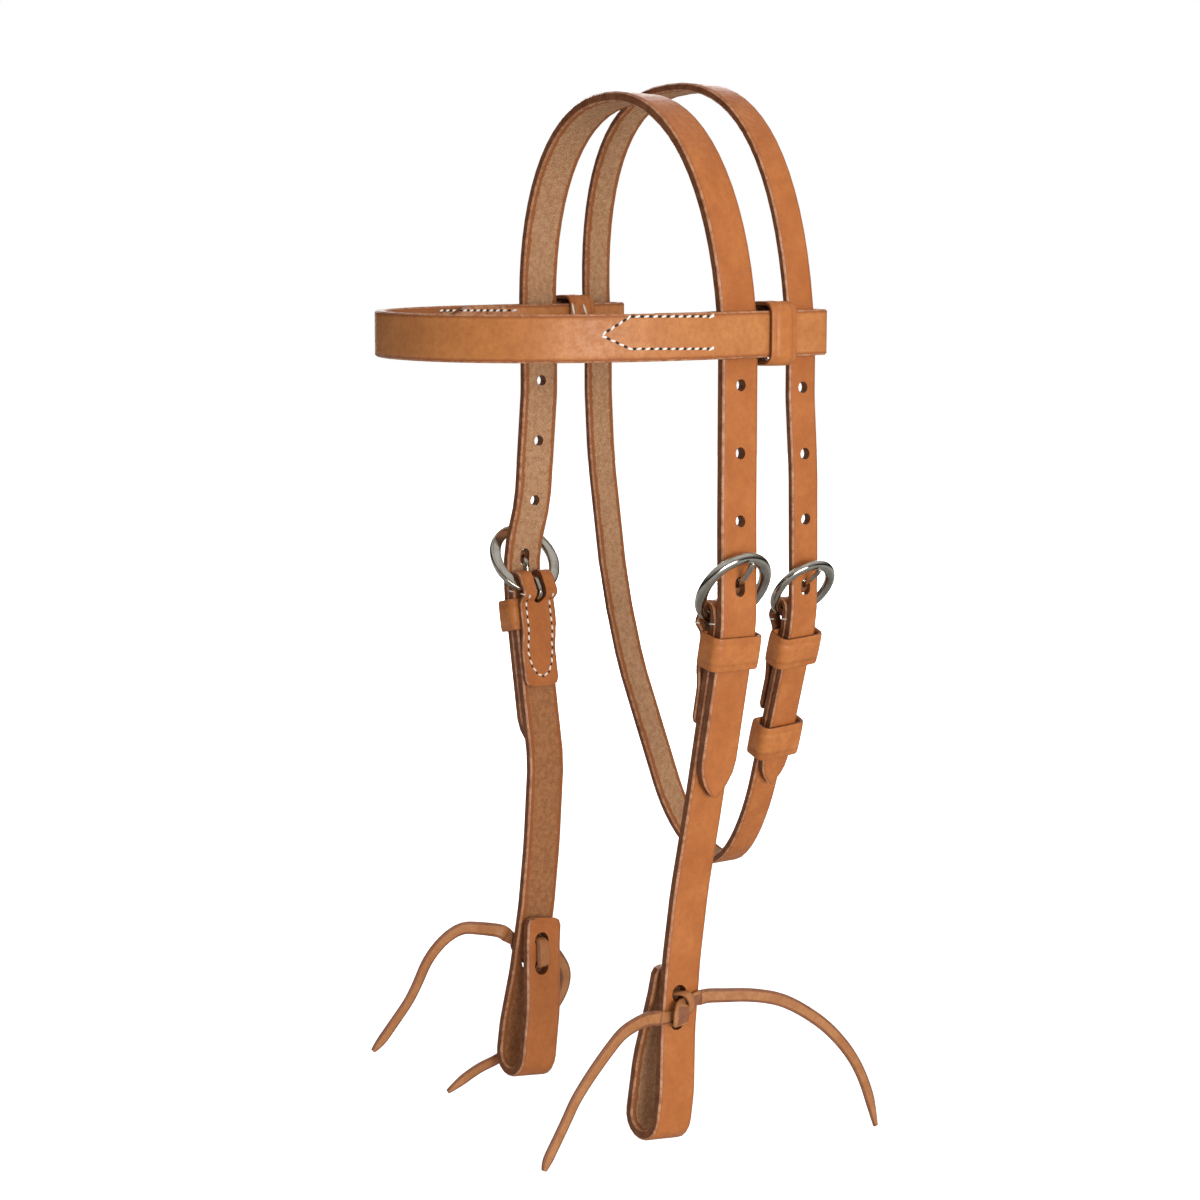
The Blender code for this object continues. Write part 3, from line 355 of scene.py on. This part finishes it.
laceLook = dict(grainLook, colour=(0.405, 0.178, 0.068), cloudColour=(0.315, 0.12, 0.037),
                poreSize=0.0005, cloudSize=0.008, roughness=0.5)
laceEdgeLook = dict(edgeLook, colour=(0.25, 0.095, 0.045), cloudColour=(0.16, 0.06, 0.03))
strapGrain = buildGrainMaterial("strapGrain", grainLook)
strapFlesh = buildGrainMaterial("strapFlesh", fleshLook)
shadedCheekFlesh = buildGrainMaterial("shadedCheekFlesh", shadedFleshLook)
browGrain = buildGrainMaterial("browGrain", browLook)
strapEdge = buildEdgeMaterial("strapEdge", edgeLook)
strapSheenLine = buildEdgeMaterial("strapSheenLine", lineSheenLook)
keeperGrain = buildGrainMaterial("keeperGrain", keeperLook)
keeperLine = buildEdgeMaterial("keeperLine", keeperLineLook)
laceGrain = buildGrainMaterial("laceGrain", laceLook)
laceEdge = buildEdgeMaterial("laceEdge", laceEdgeLook)
print("leather finishes built")


# Nickel, thread and the shade inside its holes
nickelLook = {
    "colour": (0.52, 0.49, 0.425),
    "cloudColour": (0.35, 0.32, 0.265),
    "roughness": 0.1,
    "roughSwing": 0.18,
    "smudge": 210.0,
    "smudgeStops": ((0.45, 0.0), (0.75, 1.0)),
    "scratch": 900.0,
    "scratchLay": (1.0, 0.12, 1.0),
    "bump": 0.12,
    "bumpDepth": 0.0002,
}
threadLook = {
    "colour": (0.86, 0.83, 0.76),
    "roughness": 0.7,
    "specular": 0.3,
    "grain": 2600.0,
    "grainStops": ((0.35, 0.0), (0.65, 1.0)),
    "darkShare": 0.72,
    "bump": 0.4,
    "bumpDepth": 0.0002,
}
holeLook = dict(threadLook, colour=(0.045, 0.02, 0.012), roughness=0.8)


def buildNickelMaterial(name, look):
    made, tree, shader, coords = newMaterial(name, look["roughness"], metallic=1.0)
    smudge = addNode(tree, "ShaderNodeTexNoise", {"Scale": look["smudge"], "Detail": 5.0, "Roughness": 0.65})
    join(tree, coords.outputs["Object"], smudge.inputs["Vector"])
    lay = addNode(tree, "ShaderNodeMapping", {"Scale": look["scratchLay"]})
    join(tree, coords.outputs["Object"], lay.inputs["Vector"])
    lines = addNode(tree, "ShaderNodeTexNoise", {"Scale": look["scratch"], "Detail": 3.0})
    join(tree, lay.outputs[0], lines.inputs["Vector"])
    mask = rampNode(tree, smudge.outputs[0], look["smudgeStops"])
    join(tree, mixColour(tree, mask, look["colour"], look["cloudColour"]), shader.inputs["Base Color"])
    rough = mathNode(tree, "MULTIPLY_ADD", mask, look["roughSwing"], look["roughness"])
    join(tree, rough, shader.inputs["Roughness"])
    addBump(tree, shader, lines.outputs[0], look["bump"], look["bumpDepth"])
    return made


def buildPlainMaterial(name, look):
    made, tree, shader, coords = newMaterial(name, look["roughness"], specular=look["specular"])
    grain = addNode(tree, "ShaderNodeTexNoise", {"Scale": look["grain"], "Detail": 2.0})
    join(tree, coords.outputs["Object"], grain.inputs["Vector"])
    dark = tuple(look["darkShare"] * c for c in look["colour"])
    mask = rampNode(tree, grain.outputs[0], look["grainStops"])
    join(tree, mixColour(tree, mask, dark, look["colour"]), shader.inputs["Base Color"])
    addBump(tree, shader, grain.outputs[0], look["bump"], look["bumpDepth"])
    return made


nickel = buildNickelMaterial("nickel", nickelLook)
thread = buildPlainMaterial("thread", threadLook)
holeShade = buildPlainMaterial("holeShade", holeLook)
print("nickel and thread built")


# Leather pieces: each is a merged copy of its CAD node with its sides told apart
mergeDistance = 5e-6
sideTurn = math.radians(35)
bevelTurns = (math.radians(30), math.radians(70))
rimLean = 0.2
# Spots of the width map: well away from any edge, and right on one
clearSpot = (20.0, 40.0)
borderSpot = (0.0, 40.0)
millimetres = 1000


def mergedCopy(name):
    bm = bmesh.new()
    bm.from_mesh(nodes[name].data)
    bm.transform(nodes[name].matrix_world)
    bmesh.ops.remove_doubles(bm, verts=bm.verts, dist=mergeDistance)
    bmesh.ops.recalc_face_normals(bm, faces=bm.faces)
    bm.faces.index_update()
    return bm


def clearMap(bm):
    # Every face smooth and mapped to the clear spot
    layer = bm.loops.layers.uv.verify()
    for face in bm.faces:
        face.smooth = True
        for loop in face.loops:
            loop[layer].uv = clearSpot
    return layer


def joinFlat(bm, turn):
    bmesh.ops.join_triangles(bm, faces=bm.faces, angle_face_threshold=turn, angle_shape_threshold=2.0,
                             cmp_materials=True)


def addSmooth(made, levels):
    smooth = made.modifiers.new("smooth", "SUBSURF")
    smooth.levels = smooth.render_levels = levels


def makeObject(name, bm, materials, body, replaced=()):
    data = bpy.data.meshes.new(name)
    bm.to_mesh(data)
    bm.free()
    for material in materials:
        data.materials.append(material)
    made = bpy.data.objects.new(name, data)
    scene.collection.objects.link(made)
    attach(made, body)
    if replaced:
        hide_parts(*replaced)
    return made


def sideGroups(bm):
    # Faces that meet at less than sideTurn are one side. Each side, and each face's number of its side
    label = [-1] * len(bm.faces)
    groups = []
    for first in bm.faces:
        if label[first.index] >= 0:
            continue
        label[first.index] = len(groups)
        waiting, found = [first], []
        while waiting:
            here = waiting.pop()
            found.append(here)
            for edge in here.edges:
                for other in edge.link_faces:
                    if label[other.index] < 0 and here.normal.angle(other.normal, math.pi) < sideTurn:
                        label[other.index] = len(groups)
                        waiting.append(other)
        groups.append(found)
    return groups, label


def groupArea(group):
    return sum(face.calc_area() for face in group)


def rimSegments(group, label, across):
    # The edges along a broad side's two rims, told apart by the way the faces beside it lean
    found = {-1: [], 1: []}
    for face in group:
        for edge in face.edges:
            for other in edge.link_faces:
                if label[other.index] == label[face.index]:
                    continue
                lean = other.normal.dot(across)
                if face.normal.angle(other.normal, math.pi) < bevelTurns[1] and abs(lean) > rimLean:
                    found[1 if lean > 0 else -1].append([edge.verts[0].co[:], edge.verts[1].co[:]])
    return {key: np.array(value) for key, value in found.items()}


def nearestRun(point, segments):
    # The distance from a point to the nearest of the segments
    a, b = segments[:, 0], segments[:, 1]
    run = b - a
    t = np.clip(((point - a) * run).sum(1) / np.maximum((run * run).sum(1), 1e-16), 0, 1)
    return float(np.sqrt((((a + run * t[:, None]) - point) ** 2).sum(1)).min())


def layWidthMap(bm, group, label, across):
    # U the distance from the left edge, V the whole width, in millimetres
    layer = bm.loops.layers.uv.verify()
    rims = rimSegments(group, label, across)
    if not len(rims[-1]) or not len(rims[1]):
        return
    known = {}
    for face in group:
        for loop in face.loops:
            key = loop.vert.index
            if key not in known:
                point = np.array(loop.vert.co)
                left, right = nearestRun(point, rims[-1]), nearestRun(point, rims[1])
                known[key] = (left * millimetres, (left + right) * millimetres)
            loop[layer].uv = known[key]


normalReach = 0.016
normalTurn = math.radians(24)
farWeight = 0.02
sharedTurn = 0.5


def evenNormals(group):
    # Each corner's normal, averaged over the broad side round it
    middles = np.array([face.calc_center_median()[:] for face in group])
    normals = np.array([face.normal[:] for face in group])
    areas = np.array([face.calc_area() for face in group])
    own = {}
    for face, area in zip(group, areas):
        for vert in face.verts:
            own[vert] = own.get(vert, Vector()) + face.normal * float(area)
    made = {}
    for vert, normal in own.items():
        normal = np.array(normal.normalized())
        away = np.sqrt(((middles - np.array(vert.co)) ** 2).sum(1))
        alike = normals @ normal > math.cos(normalTurn)
        weight = areas * alike * np.clip(1 - away / normalReach, farWeight, 1)
        total = (normals * weight[:, None]).sum(0) if weight.sum() > 0 else normal
        made[vert.index] = Vector(total).normalized()
    return made


def cornerNormals(bm, label, chosen, smooth):
    # The broad sides take their even normals, and the faces beside them lean towards those
    found = []
    for face in bm.faces:
        key = label[face.index]
        for loop in face.loops:
            index = loop.vert.index
            if key in chosen:
                found.append(smooth[key].get(index, face.normal).normalized())
                continue
            near = [smooth[k][index] for k in chosen if index in smooth[k]]
            turned = [other for other in near if face.normal.dot(other) > sharedTurn]
            found.append((face.normal + turned[0] if turned else face.normal).normalized())
    return found


def dressLeather(name, look):
    # The grain is the broad side that reaches further grainTowards, or else the larger one
    puffed = look.get("puffed", False)
    bm = mergedCopy(name)
    bm.verts.index_update()
    layer = clearMap(bm)
    groups, label = sideGroups(bm)
    wide = sorted(groups, key=groupArea, reverse=True)[:2]
    if "grainTowards" in look:
        reach = Vector(look["grainTowards"])
        ahead = [max(vert.co.dot(reach) for face in group for vert in face.verts) for group in wide]
        if ahead[1] > ahead[0]:
            wide.reverse()
    for face in bm.faces:
        face.material_index = edgeSlot
    for order, group in enumerate(wide):
        for face in group:
            face.material_index = order
        layWidthMap(bm, group, label, Vector(look["across"]))
    chosen = {label[group[0].index] for group in wide}
    bevels = set()
    for face in bm.faces:
        for edge in face.edges:
            for other in edge.link_faces:
                turn = face.normal.angle(other.normal, math.pi)
                if label[other.index] in chosen and bevelTurns[0] < turn < bevelTurns[1]:
                    bevels.add(label[face.index])
    # Bevels take the lighter line, whose colour is partly a painted highlight, or the grain on puffed pieces
    for face in bm.faces:
        if label[face.index] in bevels - chosen:
            face.material_index = grainSlot if puffed else lineSlot
            if puffed:
                for loop in face.loops:
                    loop[layer].uv = borderSpot
    if puffed:
        joinFlat(bm, keeperTurn)
        made = makeObject(name + "_leather", bm, look["finish"], look["body"], (name,))
        addSmooth(made, 2)
        return
    smooth = {label[group[0].index]: evenNormals(group) for group in wide}
    corners = cornerNormals(bm, label, chosen, smooth)
    made = makeObject(name + "_leather", bm, look["finish"], look["body"], (name,))
    made.data.normals_split_custom_set(corners)


# A finish holds the grain side, the flesh side, the line between side and edge, and the edge. On straps the
# line is lighter than the edge: partly a burnished edge, partly a painted highlight
grainSlot, lineSlot, edgeSlot = 0, 2, 3
keeperTurn = 0.5
strapFinish = (strapGrain, strapFlesh, strapSheenLine, strapEdge)
shadedCheekFinish = (strapGrain, shadedCheekFlesh, strapSheenLine, strapEdge)
keeperFinish = (keeperGrain, strapFlesh, keeperLine, strapEdge)
sideWays, upWays = (0, 1, 0), (0, 0, 1)
strapPiece = {"finish": strapFinish, "slot": "strap_leather", "body": "headstall", "across": sideWays}
browPiece = {"finish": (browGrain, *strapFinish[1:]), "slot": "strap_leather", "body": "browband",
             "across": upWays, "grainTowards": (0, -1, 0)}
keeperPiece = {"finish": keeperFinish, "slot": "keeper_leather", "body": "headstall", "across": upWays,
               "puffed": True}
leatherPieces = {
    "crown_strap": dict(strapPiece, grainTowards=upWays),
    "throat_strap": dict(strapPiece, grainTowards=upWays),
    "cheek_strap_near": dict(strapPiece, grainTowards=(1, 0, 0)),
    # The far cheek strap's flesh takes the darker copy of the flesh: painted shade
    "cheek_strap_far": dict(strapPiece, finish=shadedCheekFinish, grainTowards=(-1, 0, 0)),
    "browband": browPiece,
    "browband_keeper_near": dict(keeperPiece, body="browband", across=sideWays),
    "browband_keeper_far": dict(keeperPiece, body="browband", across=sideWays),
    "cheek_keeper_near": keeperPiece,
    "cheek_keeper_far": keeperPiece,
    "throat_keeper_fixed": keeperPiece,
    "throat_keeper_sliding": dict(keeperPiece, body="sliding_keeper"),
}
for name, look in leatherPieces.items():
    dressLeather(name, look)
print("leather pieces dressed:", len(leatherPieces))


# Buckle rims: the section is turned round the bore. Its points are shares of the rim's width and height
rimSection = [(0.0, -0.5), (0.05, -0.86), (0.16, -1.0), (0.86, -1.0), (0.97, -0.8), (1.0, -0.4), (1.0, 0.1),
              (0.93, 0.5), (0.78, 0.86), (0.6, 1.0), (0.4, 0.94), (0.2, 0.7), (0.05, 0.36), (0.0, 0.1)]
cheekRim = {"middle": (78.973, -7.3, -208.3), "tilt": 33.0, "bore": 13.4, "wide": 5.3, "back": 1.8,
            "front": 2.2, "steps": 64}
throatRim = {"middle": (71.0, 38.6, -212.0), "tilt": 38.0, "bore": 11.7, "wide": 4.5, "back": 1.4,
             "front": 1.8, "steps": 64}
rimPieces = {
    "cheek_buckle_near_frame": dict(cheekRim, side=1, body="near_frame"),
    "cheek_buckle_far_frame": dict(cheekRim, side=-1, body="far_frame"),
    "throat_buckle_frame": dict(throatRim, side=1, body="throat_frame"),
}
rimMerge = 1e-6


def turnRim(name, look):
    tilt = math.radians(look["tilt"])
    x, y, z = look["middle"]
    centre = Vector((look["side"] * x, y, z)) / millimetres
    up = Vector((look["side"] * math.sin(tilt), 0, math.cos(tilt)))
    out = Vector((look["side"] * math.cos(tilt), 0, -math.sin(tilt)))
    bm = bmesh.new()
    ring = []
    for across, height in rimSection:
        radius = look["bore"] + across * look["wide"]
        rise = height * (look["front"] if height > 0 else look["back"])
        ring.append(bm.verts.new(centre + (up * radius + out * rise) / millimetres))
    edges = [bm.edges.new((a, b)) for a, b in zip(ring, ring[1:] + ring[:1])]
    bmesh.ops.spin(bm, geom=ring + edges, cent=centre, axis=out, angle=2 * math.pi, steps=look["steps"],
                   use_merge=True)
    bmesh.ops.remove_doubles(bm, verts=bm.verts, dist=rimMerge)
    bmesh.ops.recalc_face_normals(bm, faces=bm.faces)
    for face in bm.faces:
        face.smooth = True
    made = makeObject(name + "_rim", bm, (nickel,), look["body"], (name,))
    addSmooth(made, 1)


for name, look in rimPieces.items():
    turnRim(name, look)
print("buckle rims turned:", len(rimPieces))


# Tongues, laces and tails: rounded copies of their CAD nodes. A lace's broad sides and its cut ends
# are grain, its narrow sides edge, told apart by their area against the largest
broadShare = 0.3
capShare = 0.05
laceTurn = 0.6


def softCopy(name, materials, body):
    bm = mergedCopy(name)
    clearMap(bm)
    if len(materials) > 1:
        groups = sideGroups(bm)[0]
        areas = [groupArea(group) for group in groups]
        crease = bm.edges.layers.float.new("crease_edge")
        for group, area in zip(groups, areas):
            cap = area < capShare * max(areas)
            for face in group:
                face.material_index = 0 if cap or area > broadShare * max(areas) else 1
                if cap:
                    for edge in face.edges:
                        edge[crease] = 1.0
    joinFlat(bm, laceTurn)
    made = makeObject(name + "_soft", bm, materials, body, (name,))
    addSmooth(made, 1)
    return made


laceFinish = (laceGrain, laceEdge)
tonguePieces = {"cheek_buckle_near_tongue": "near_tongue", "cheek_buckle_far_tongue": "far_tongue",
                "throat_buckle_tongue": "throat_tongue"}
for name, body in tonguePieces.items():
    softCopy(name, (nickel,), body)
for name in ("bit_tie_near", "bit_tie_far"):
    softCopy(name, laceFinish, "headstall")

# Painted shade in each hole in use: a dark bead round the tongue, clear of the strap, in millimetres
wornShades = {
    "near": {"middle": (80.9, -7.3, -207.1), "size": (1.6, 4.2, 6.9), "body": "near_tongue"},
    "far": {"middle": (-80.9, -7.3, -207.1), "size": (1.6, 4.2, 6.9), "body": "far_tongue"},
    "throat": {"middle": (71.0, 38.6, -211.0), "size": (1.4, 4.2, 5.4), "body": "throat_tongue"},
}
for name, look in wornShades.items():
    bm = bmesh.new()
    place = Matrix.Translation(Vector(look["middle"]) / millimetres)
    size = Matrix.Diagonal((*(value / (2 * millimetres) for value in look["size"]), 1.0))
    bmesh.ops.create_uvsphere(bm, u_segments=24, v_segments=12, radius=1.0, matrix=place @ size)
    for face in bm.faces:
        face.smooth = True
    makeObject(name + "_hole_shade", bm, (strapEdge,), look["body"])
print("tongues, ties and hole shades made")

# Free tails, each a cord of its own, in millimetres: the place where it leaves its knot, then its
# route as steps from the middle of the tie
tailPieces = {
    "bit_tie_tail_near_front": {
        "side": 1, "exit": (61.39, -32.09, -395.28), "length": 0.0919,
        "route": ((4.3, -23.1, -0.8), (6.3, -34.1, -3.0), (7.8, -41.6, -7.3), (8.8, -48.8, -13.0),
                  (8.8, -55.1, -19.5), (8.3, -60.9, -27.0), (8.3, -65.5, -34.5), (8.3, -70.3, -42.1),
                  (8.3, -75.1, -49.6), (8.3, -77.1, -53.9))},
    "bit_tie_tail_near_rear": {
        "side": 1, "exit": (61.39, -9.88, -390.01), "length": 0.1282,
        "route": ((4.8, 21.9, 2.7), (8.3, 35.5, 1.2), (11.8, 51.1, -3.4), (15.3, 67.8, -14.3),
                  (17.3, 79.2, -25.3), (18.3, 87.3, -35.9), (18.8, 92.9, -46.3), (18.8, 97.1, -56.7),
                  (18.8, 100.8, -69.4))},
    "bit_tie_tail_far_front": {
        "side": -1, "exit": (-61.39, -30.61, -385.71), "length": 0.0948,
        "route": ((-8.8, -20.6, 10.5), (-12.3, -28.3, 10.8), (-15.8, -36.2, 5.6), (-18.8, -43.1, -3.6),
                  (-20.3, -47.3, -13.0), (-21.3, -52.1, -22.1), (-22.3, -59.0, -30.9), (-23.3, -66.2, -39.6),
                  (-23.8, -70.9, -44.2))},
    "bit_tie_tail_far_rear": {
        "side": -1, "exit": (-61.39, -10.38, -395.28), "length": 0.1116,
        "route": ((-2.3, 21.4, -10.0), (-3.8, 26.4, -19.0), (-6.3, 25.3, -29.8), (-8.3, 17.1, -40.5),
                  (-9.3, 6.0, -48.7), (-9.8, -8.4, -55.8), (-10.3, -19.6, -58.8), (-10.3, -29.6, -62.9),
                  (-10.3, -37.8, -67.0))},
}
for name, look in tailPieces.items():
    made = softCopy(name, laceFinish, "headstall")
print("free tails made:", len(tailPieces))


# Stitches: white thread laid on the leather, with the dark slots of their holes between. Each row is
# cast along its aim on the piece it is sewn in. Places and sizes are millimetres
stitchLook = {"pitch": 3.9, "long": 2.5, "wide": 1.0, "high": 0.5, "slant": 14.0,
              "holeLong": 2.1, "holeWide": 1.25, "holeHigh": 0.24}
fineStitch = dict(stitchLook, pitch=4.0, wide=0.95, slant=10.0, holeLong=1.9, holeWide=1.1, holeHigh=0.22)
looseStitch = dict(stitchLook, pitch=4.4, long=4.2, wide=0.7, high=0.6, slant=0.0)
browRow = {"on": "browband", "body": "browband", "look": stitchLook}
browSingle = dict(browRow, single=True)
stitchRows = {
    "near_return_upper": dict(browRow, aim=(-1, 0, 0), line=((100, -21.0, -93.9), (100, -59.0, -94.2),
                                                             (100, -69.5, -100.9))),
    "near_return_lower": dict(browRow, aim=(-1, 0, 0), line=((100, -21.0, -107.2), (100, -59.0, -107.2),
                                                             (100, -69.5, -102.4))),
    "far_return_upper": dict(browRow, aim=(1, 0, 0), line=((-100, -21.0, -88.9), (-100, -59.0, -89.6),
                                                           (-100, -69.5, -95.6))),
    "far_return_lower": dict(browRow, aim=(1, 0, 0), line=((-100, -21.0, -102.2), (-100, -59.0, -102.6),
                                                           (-100, -69.5, -97.2))),
    "far_inner_upper": dict(browRow, aim=(-1, 0, 0), line=((0, -18.5, -89.6), (0, -58.0, -90.0))),
    "far_inner_lower": dict(browRow, aim=(-1, 0, 0), line=((0, -18.5, -102.2), (0, -58.0, -102.6))),
    "near_inner_upper": dict(browRow, aim=(1, 0, 0), line=((0, -18.5, -93.9), (0, -58.0, -94.2))),
    "near_inner_lower": dict(browRow, aim=(1, 0, 0), line=((0, -18.5, -107.2), (0, -58.0, -107.2))),
    "near_start_upper": dict(browSingle, aim=(-1, 0, 0), line=((100, -20.2, -93.0), (100, -22.4, -94.6))),
    "near_start_lower": dict(browSingle, aim=(-1, 0, 0), line=((100, -20.2, -106.4), (100, -22.4, -107.9))),
    "far_keeper_first": dict(browSingle, on="browband_keeper_far", aim=(-1, 0, 0),
                             line=((0, 9.9, -86.2), (0, 11.2, -91.6))),
    "far_keeper_second": dict(browSingle, on="browband_keeper_far", aim=(-1, 0, 0),
                              line=((0, 16.4, -86.6), (0, 18.4, -91.8))),
    "near_keeper_first": dict(browSingle, on="browband_keeper_near", aim=(1, 0, 0),
                              line=((0, 11.2, -92.2), (0, 10.4, -97.6))),
    "near_keeper_second": dict(browSingle, on="browband_keeper_near", aim=(1, 0, 0),
                               line=((0, 18.2, -92.4), (0, 17.0, -97.8))),
}
cheekChape = ((-14.0, -224.5), (-14.1, -252.0), (-13.0, -257.5), (-10.6, -261.6), (-7.3, -263.2),
              (-4.0, -261.6), (-1.6, -257.5), (-0.5, -252.0), (-0.6, -224.5))
throatChape = ((34.2, -229.0), (36.0, -254.0), (37.6, -260.0), (41.4, -263.6), (45.0, -260.0),
               (45.6, -254.0), (44.0, -229.0))
insideStart = 20
for side, label in ((1, "near"), (-1, "far")):
    stitchRows[label + "_chape_edge"] = {
        "on": "cheek_strap_" + label, "body": "headstall", "aim": (side, 0, 0), "look": fineStitch,
        "line": [(side * insideStart, y, z) for y, z in cheekChape]}
    stitchRows[label + "_wrap"] = {
        "on": "cheek_strap_" + label, "body": "headstall", "aim": (0, 1, 0), "look": looseStitch,
        "line": ((side * 66.2, -60, -223.3), (side * 76.5, -60, -222.8))}
stitchRows["throat_chape_edge"] = {
    "on": "throat_strap", "body": "headstall", "aim": (1, 0, 0), "look": fineStitch,
    "line": [(insideStart, y, z) for y, z in throatChape]}
stitchRows["throat_wrap"] = {
    "on": "throat_strap", "body": "headstall", "aim": (0, 1, 0), "look": looseStitch,
    "line": ((58.2, 0, -226.0), (67.0, 0, -225.2))}


def castTree(name):
    bm = mergedCopy(name)
    tree = BVHTree.FromBMesh(bm)
    bm.free()
    return tree


def placesAlong(line, pitch):
    # Evenly spaced points with the line's direction there, from end to end
    line = [Vector(point) for point in line]
    runs = [(b - a).length for a, b in zip(line, line[1:])]
    total = sum(runs)
    count = max(1, round(total / pitch))
    spots = []
    for k in range(count + 1):
        left = total * k / count
        for (a, b), run in zip(zip(line, line[1:]), runs):
            if left <= run or b is line[-1]:
                spots.append((a + (b - a) * (left / run), (b - a).normalized()))
                break
            left -= run
    return spots


def addBead(bm, hit, normal, along, sizes, sunk, index, slant=0.0):
    along = (along - normal * along.dot(normal)).normalized()
    along = Matrix.Rotation(math.radians(slant), 3, normal) @ along
    across = normal.cross(along)
    place = Matrix((along, across, normal)).transposed().to_4x4()
    place.translation = hit + normal * (sunk / millimetres)
    long, wide, high = (value / millimetres for value in sizes)
    size = Matrix.Diagonal((long / 2, wide / 2, high, 1.0))
    made = bmesh.ops.create_uvsphere(bm, u_segments=12, v_segments=8, radius=1.0, matrix=place @ size)
    for vert in made["verts"]:
        for face in vert.link_faces:
            face.material_index = index
            face.smooth = True


castReach = 0.12
leastFacing = 0.2
threadRise, slotDepth, singleOver = 0.05, 0.1, 0.6


def sewRows(rows):
    trees = {}
    beds = {}
    for name, row in rows.items():
        if row["on"] not in trees:
            trees[row["on"]] = castTree(row["on"])
        if row["body"] not in beds:
            beds[row["body"]] = bmesh.new()
        tree, bm = trees[row["on"]], beds[row["body"]]
        aim = Vector(row["aim"]).normalized()
        look = dict(row["look"])
        spots = placesAlong(row["line"], look["pitch"])
        if row.get("single"):
            first, last = (Vector(point) for point in row["line"])
            spots = [((first + last) / 2, (last - first).normalized())]
            look.update(long=(last - first).length + singleOver, slant=0.0)
        laid = 0
        for k, (spot, along) in enumerate(spots):
            parts = [(0.0, False), (look["pitch"] / 2, True)]
            if k == len(spots) - 1:
                parts.pop()
            for shift, isSlot in parts:
                place = (spot + along * shift) / millimetres
                hit, normal = tree.ray_cast(place, aim, castReach)[:2]
                if hit is None or normal.dot(aim) > -leastFacing:
                    continue
                laid += 1
                if isSlot:
                    sizes = (look["holeLong"], look["holeWide"], look["holeHigh"])
                    addBead(bm, hit, normal, along, sizes, -slotDepth, 1)
                else:
                    sizes = (look["long"], look["wide"], look["high"])
                    addBead(bm, hit, normal, along, sizes, threadRise, 0, look["slant"])
        print("row", name, laid)
    for body, bm in beds.items():
        makeObject(body + "_stitches", bm, (thread, holeShade), body)


sewRows(stitchRows)

# Studio: white behind, a soft gradient for light, a darker one for the metal's reflections, two
# softboxes and a pale floor that fades into the white
studioLook = {
    "lean": (0.25, 0.12, 0.25),
    "light": ((0.1, 0.2), (0.5, 0.44), (0.85, 0.8)),
    "mirror": ((0.2, 0.22), (0.4, 0.02), (0.58, 0.025), (0.68, 0.16), (0.86, 0.75)),
    "floorDrop": 0.09,
    "floorColour": 0.76,
    "floorMirror": ((0.22, 0.05), (0.9, 0.55)),
    "floorGlow": 0.5,
    "floorFade": (0.5, 1.6),
    "floorSize": 6.0,
    "aim": (0, 0, -0.24),
}
softboxes = {
    "key": {"place": (3.0, -0.45, -0.02), "size": (1.9, 1.0), "power": 71.0},
    "fill": {"place": (-2.7, 1.7, 0.7), "size": (1.9, 1.9), "power": 62.0},
}


def buildWorld(look):
    # The light's level grows along x, y and z by the shares in lean
    world = bpy.data.worlds.new("studio")
    world.use_nodes = True
    scene.world = world
    tree = world.node_tree
    tree.nodes.clear()
    coords = tree.nodes.new("ShaderNodeTexCoord")
    split = tree.nodes.new("ShaderNodeSeparateXYZ")
    join(tree, coords.outputs["Generated"], split.inputs[0])
    level = 0.5
    for part, share in zip(split.outputs, look["lean"]):
        level = mathNode(tree, "MULTIPLY_ADD", part, share, level)
    upright = mathNode(tree, "MULTIPLY_ADD", split.outputs[2], 0.5, 0.5)
    path = tree.nodes.new("ShaderNodeLightPath")
    shade = mixColour(tree, path.outputs["Is Glossy Ray"], rampNode(tree, level, look["light"]),
                      rampNode(tree, upright, look["mirror"]))
    shade = mixColour(tree, path.outputs["Is Camera Ray"], shade, (1.0, 1.0, 1.0))
    soft = tree.nodes.new("ShaderNodeBackground")
    join(tree, shade, soft.inputs["Color"])
    out = tree.nodes.new("ShaderNodeOutputWorld")
    join(tree, soft.outputs[0], out.inputs["Surface"])


def addSoftbox(name, look, aim):
    data = bpy.data.lights.new(name, "AREA")
    data.shape = "RECTANGLE"
    data.size, data.size_y = look["size"]
    data.energy = look["power"]
    made = bpy.data.objects.new(name, data)
    scene.collection.objects.link(made)
    made.location = look["place"]
    away = Vector(aim) - Vector(look["place"])
    made.rotation_euler = away.to_track_quat("-Z", "Y").to_euler()


def addFloor(look):
    bm = bmesh.new()
    bmesh.ops.create_grid(bm, x_segments=1, y_segments=1, size=look["floorSize"])
    bmesh.ops.translate(bm, verts=bm.verts, vec=(0, 0, float(cadBox[0][2]) - look["floorDrop"]))
    data = bpy.data.meshes.new("floor")
    bm.to_mesh(data)
    bm.free()
    made = bpy.data.objects.new("floor", data)
    scene.collection.objects.link(made)
    material, tree, shader, coords = newMaterial("floorPale", 0.9, specular=0.0)
    length = addNode(tree, "ShaderNodeVectorMath", operation="LENGTH")
    join(tree, coords.outputs["Object"], length.inputs[0])
    mirror = rampNode(tree, length.outputs["Value"], look["floorMirror"])
    near, far = look["floorFade"]
    fade = addNode(tree, "ShaderNodeMapRange",
                   {"From Min": near, "From Max": far, "To Min": look["floorGlow"], "To Max": 1.0})
    join(tree, length.outputs["Value"], fade.inputs["Value"])
    path = tree.nodes.new("ShaderNodeLightPath")
    grey = (look["floorColour"],) * 3
    join(tree, mixColour(tree, path.outputs["Is Glossy Ray"], grey, mirror), shader.inputs["Base Color"])
    glow = mathNode(tree, "MULTIPLY", fade.outputs[0], path.outputs["Is Camera Ray"])
    shader.inputs["Emission Color"].default_value = (1, 1, 1, 1)
    join(tree, glow, shader.inputs["Emission Strength"])
    data.materials.append(material)


buildWorld(studioLook)
for name, look in softboxes.items():
    addSoftbox(name, look, studioLook["aim"])
addFloor(studioLook)
scene.view_settings.view_transform = "Standard"
print("studio built")
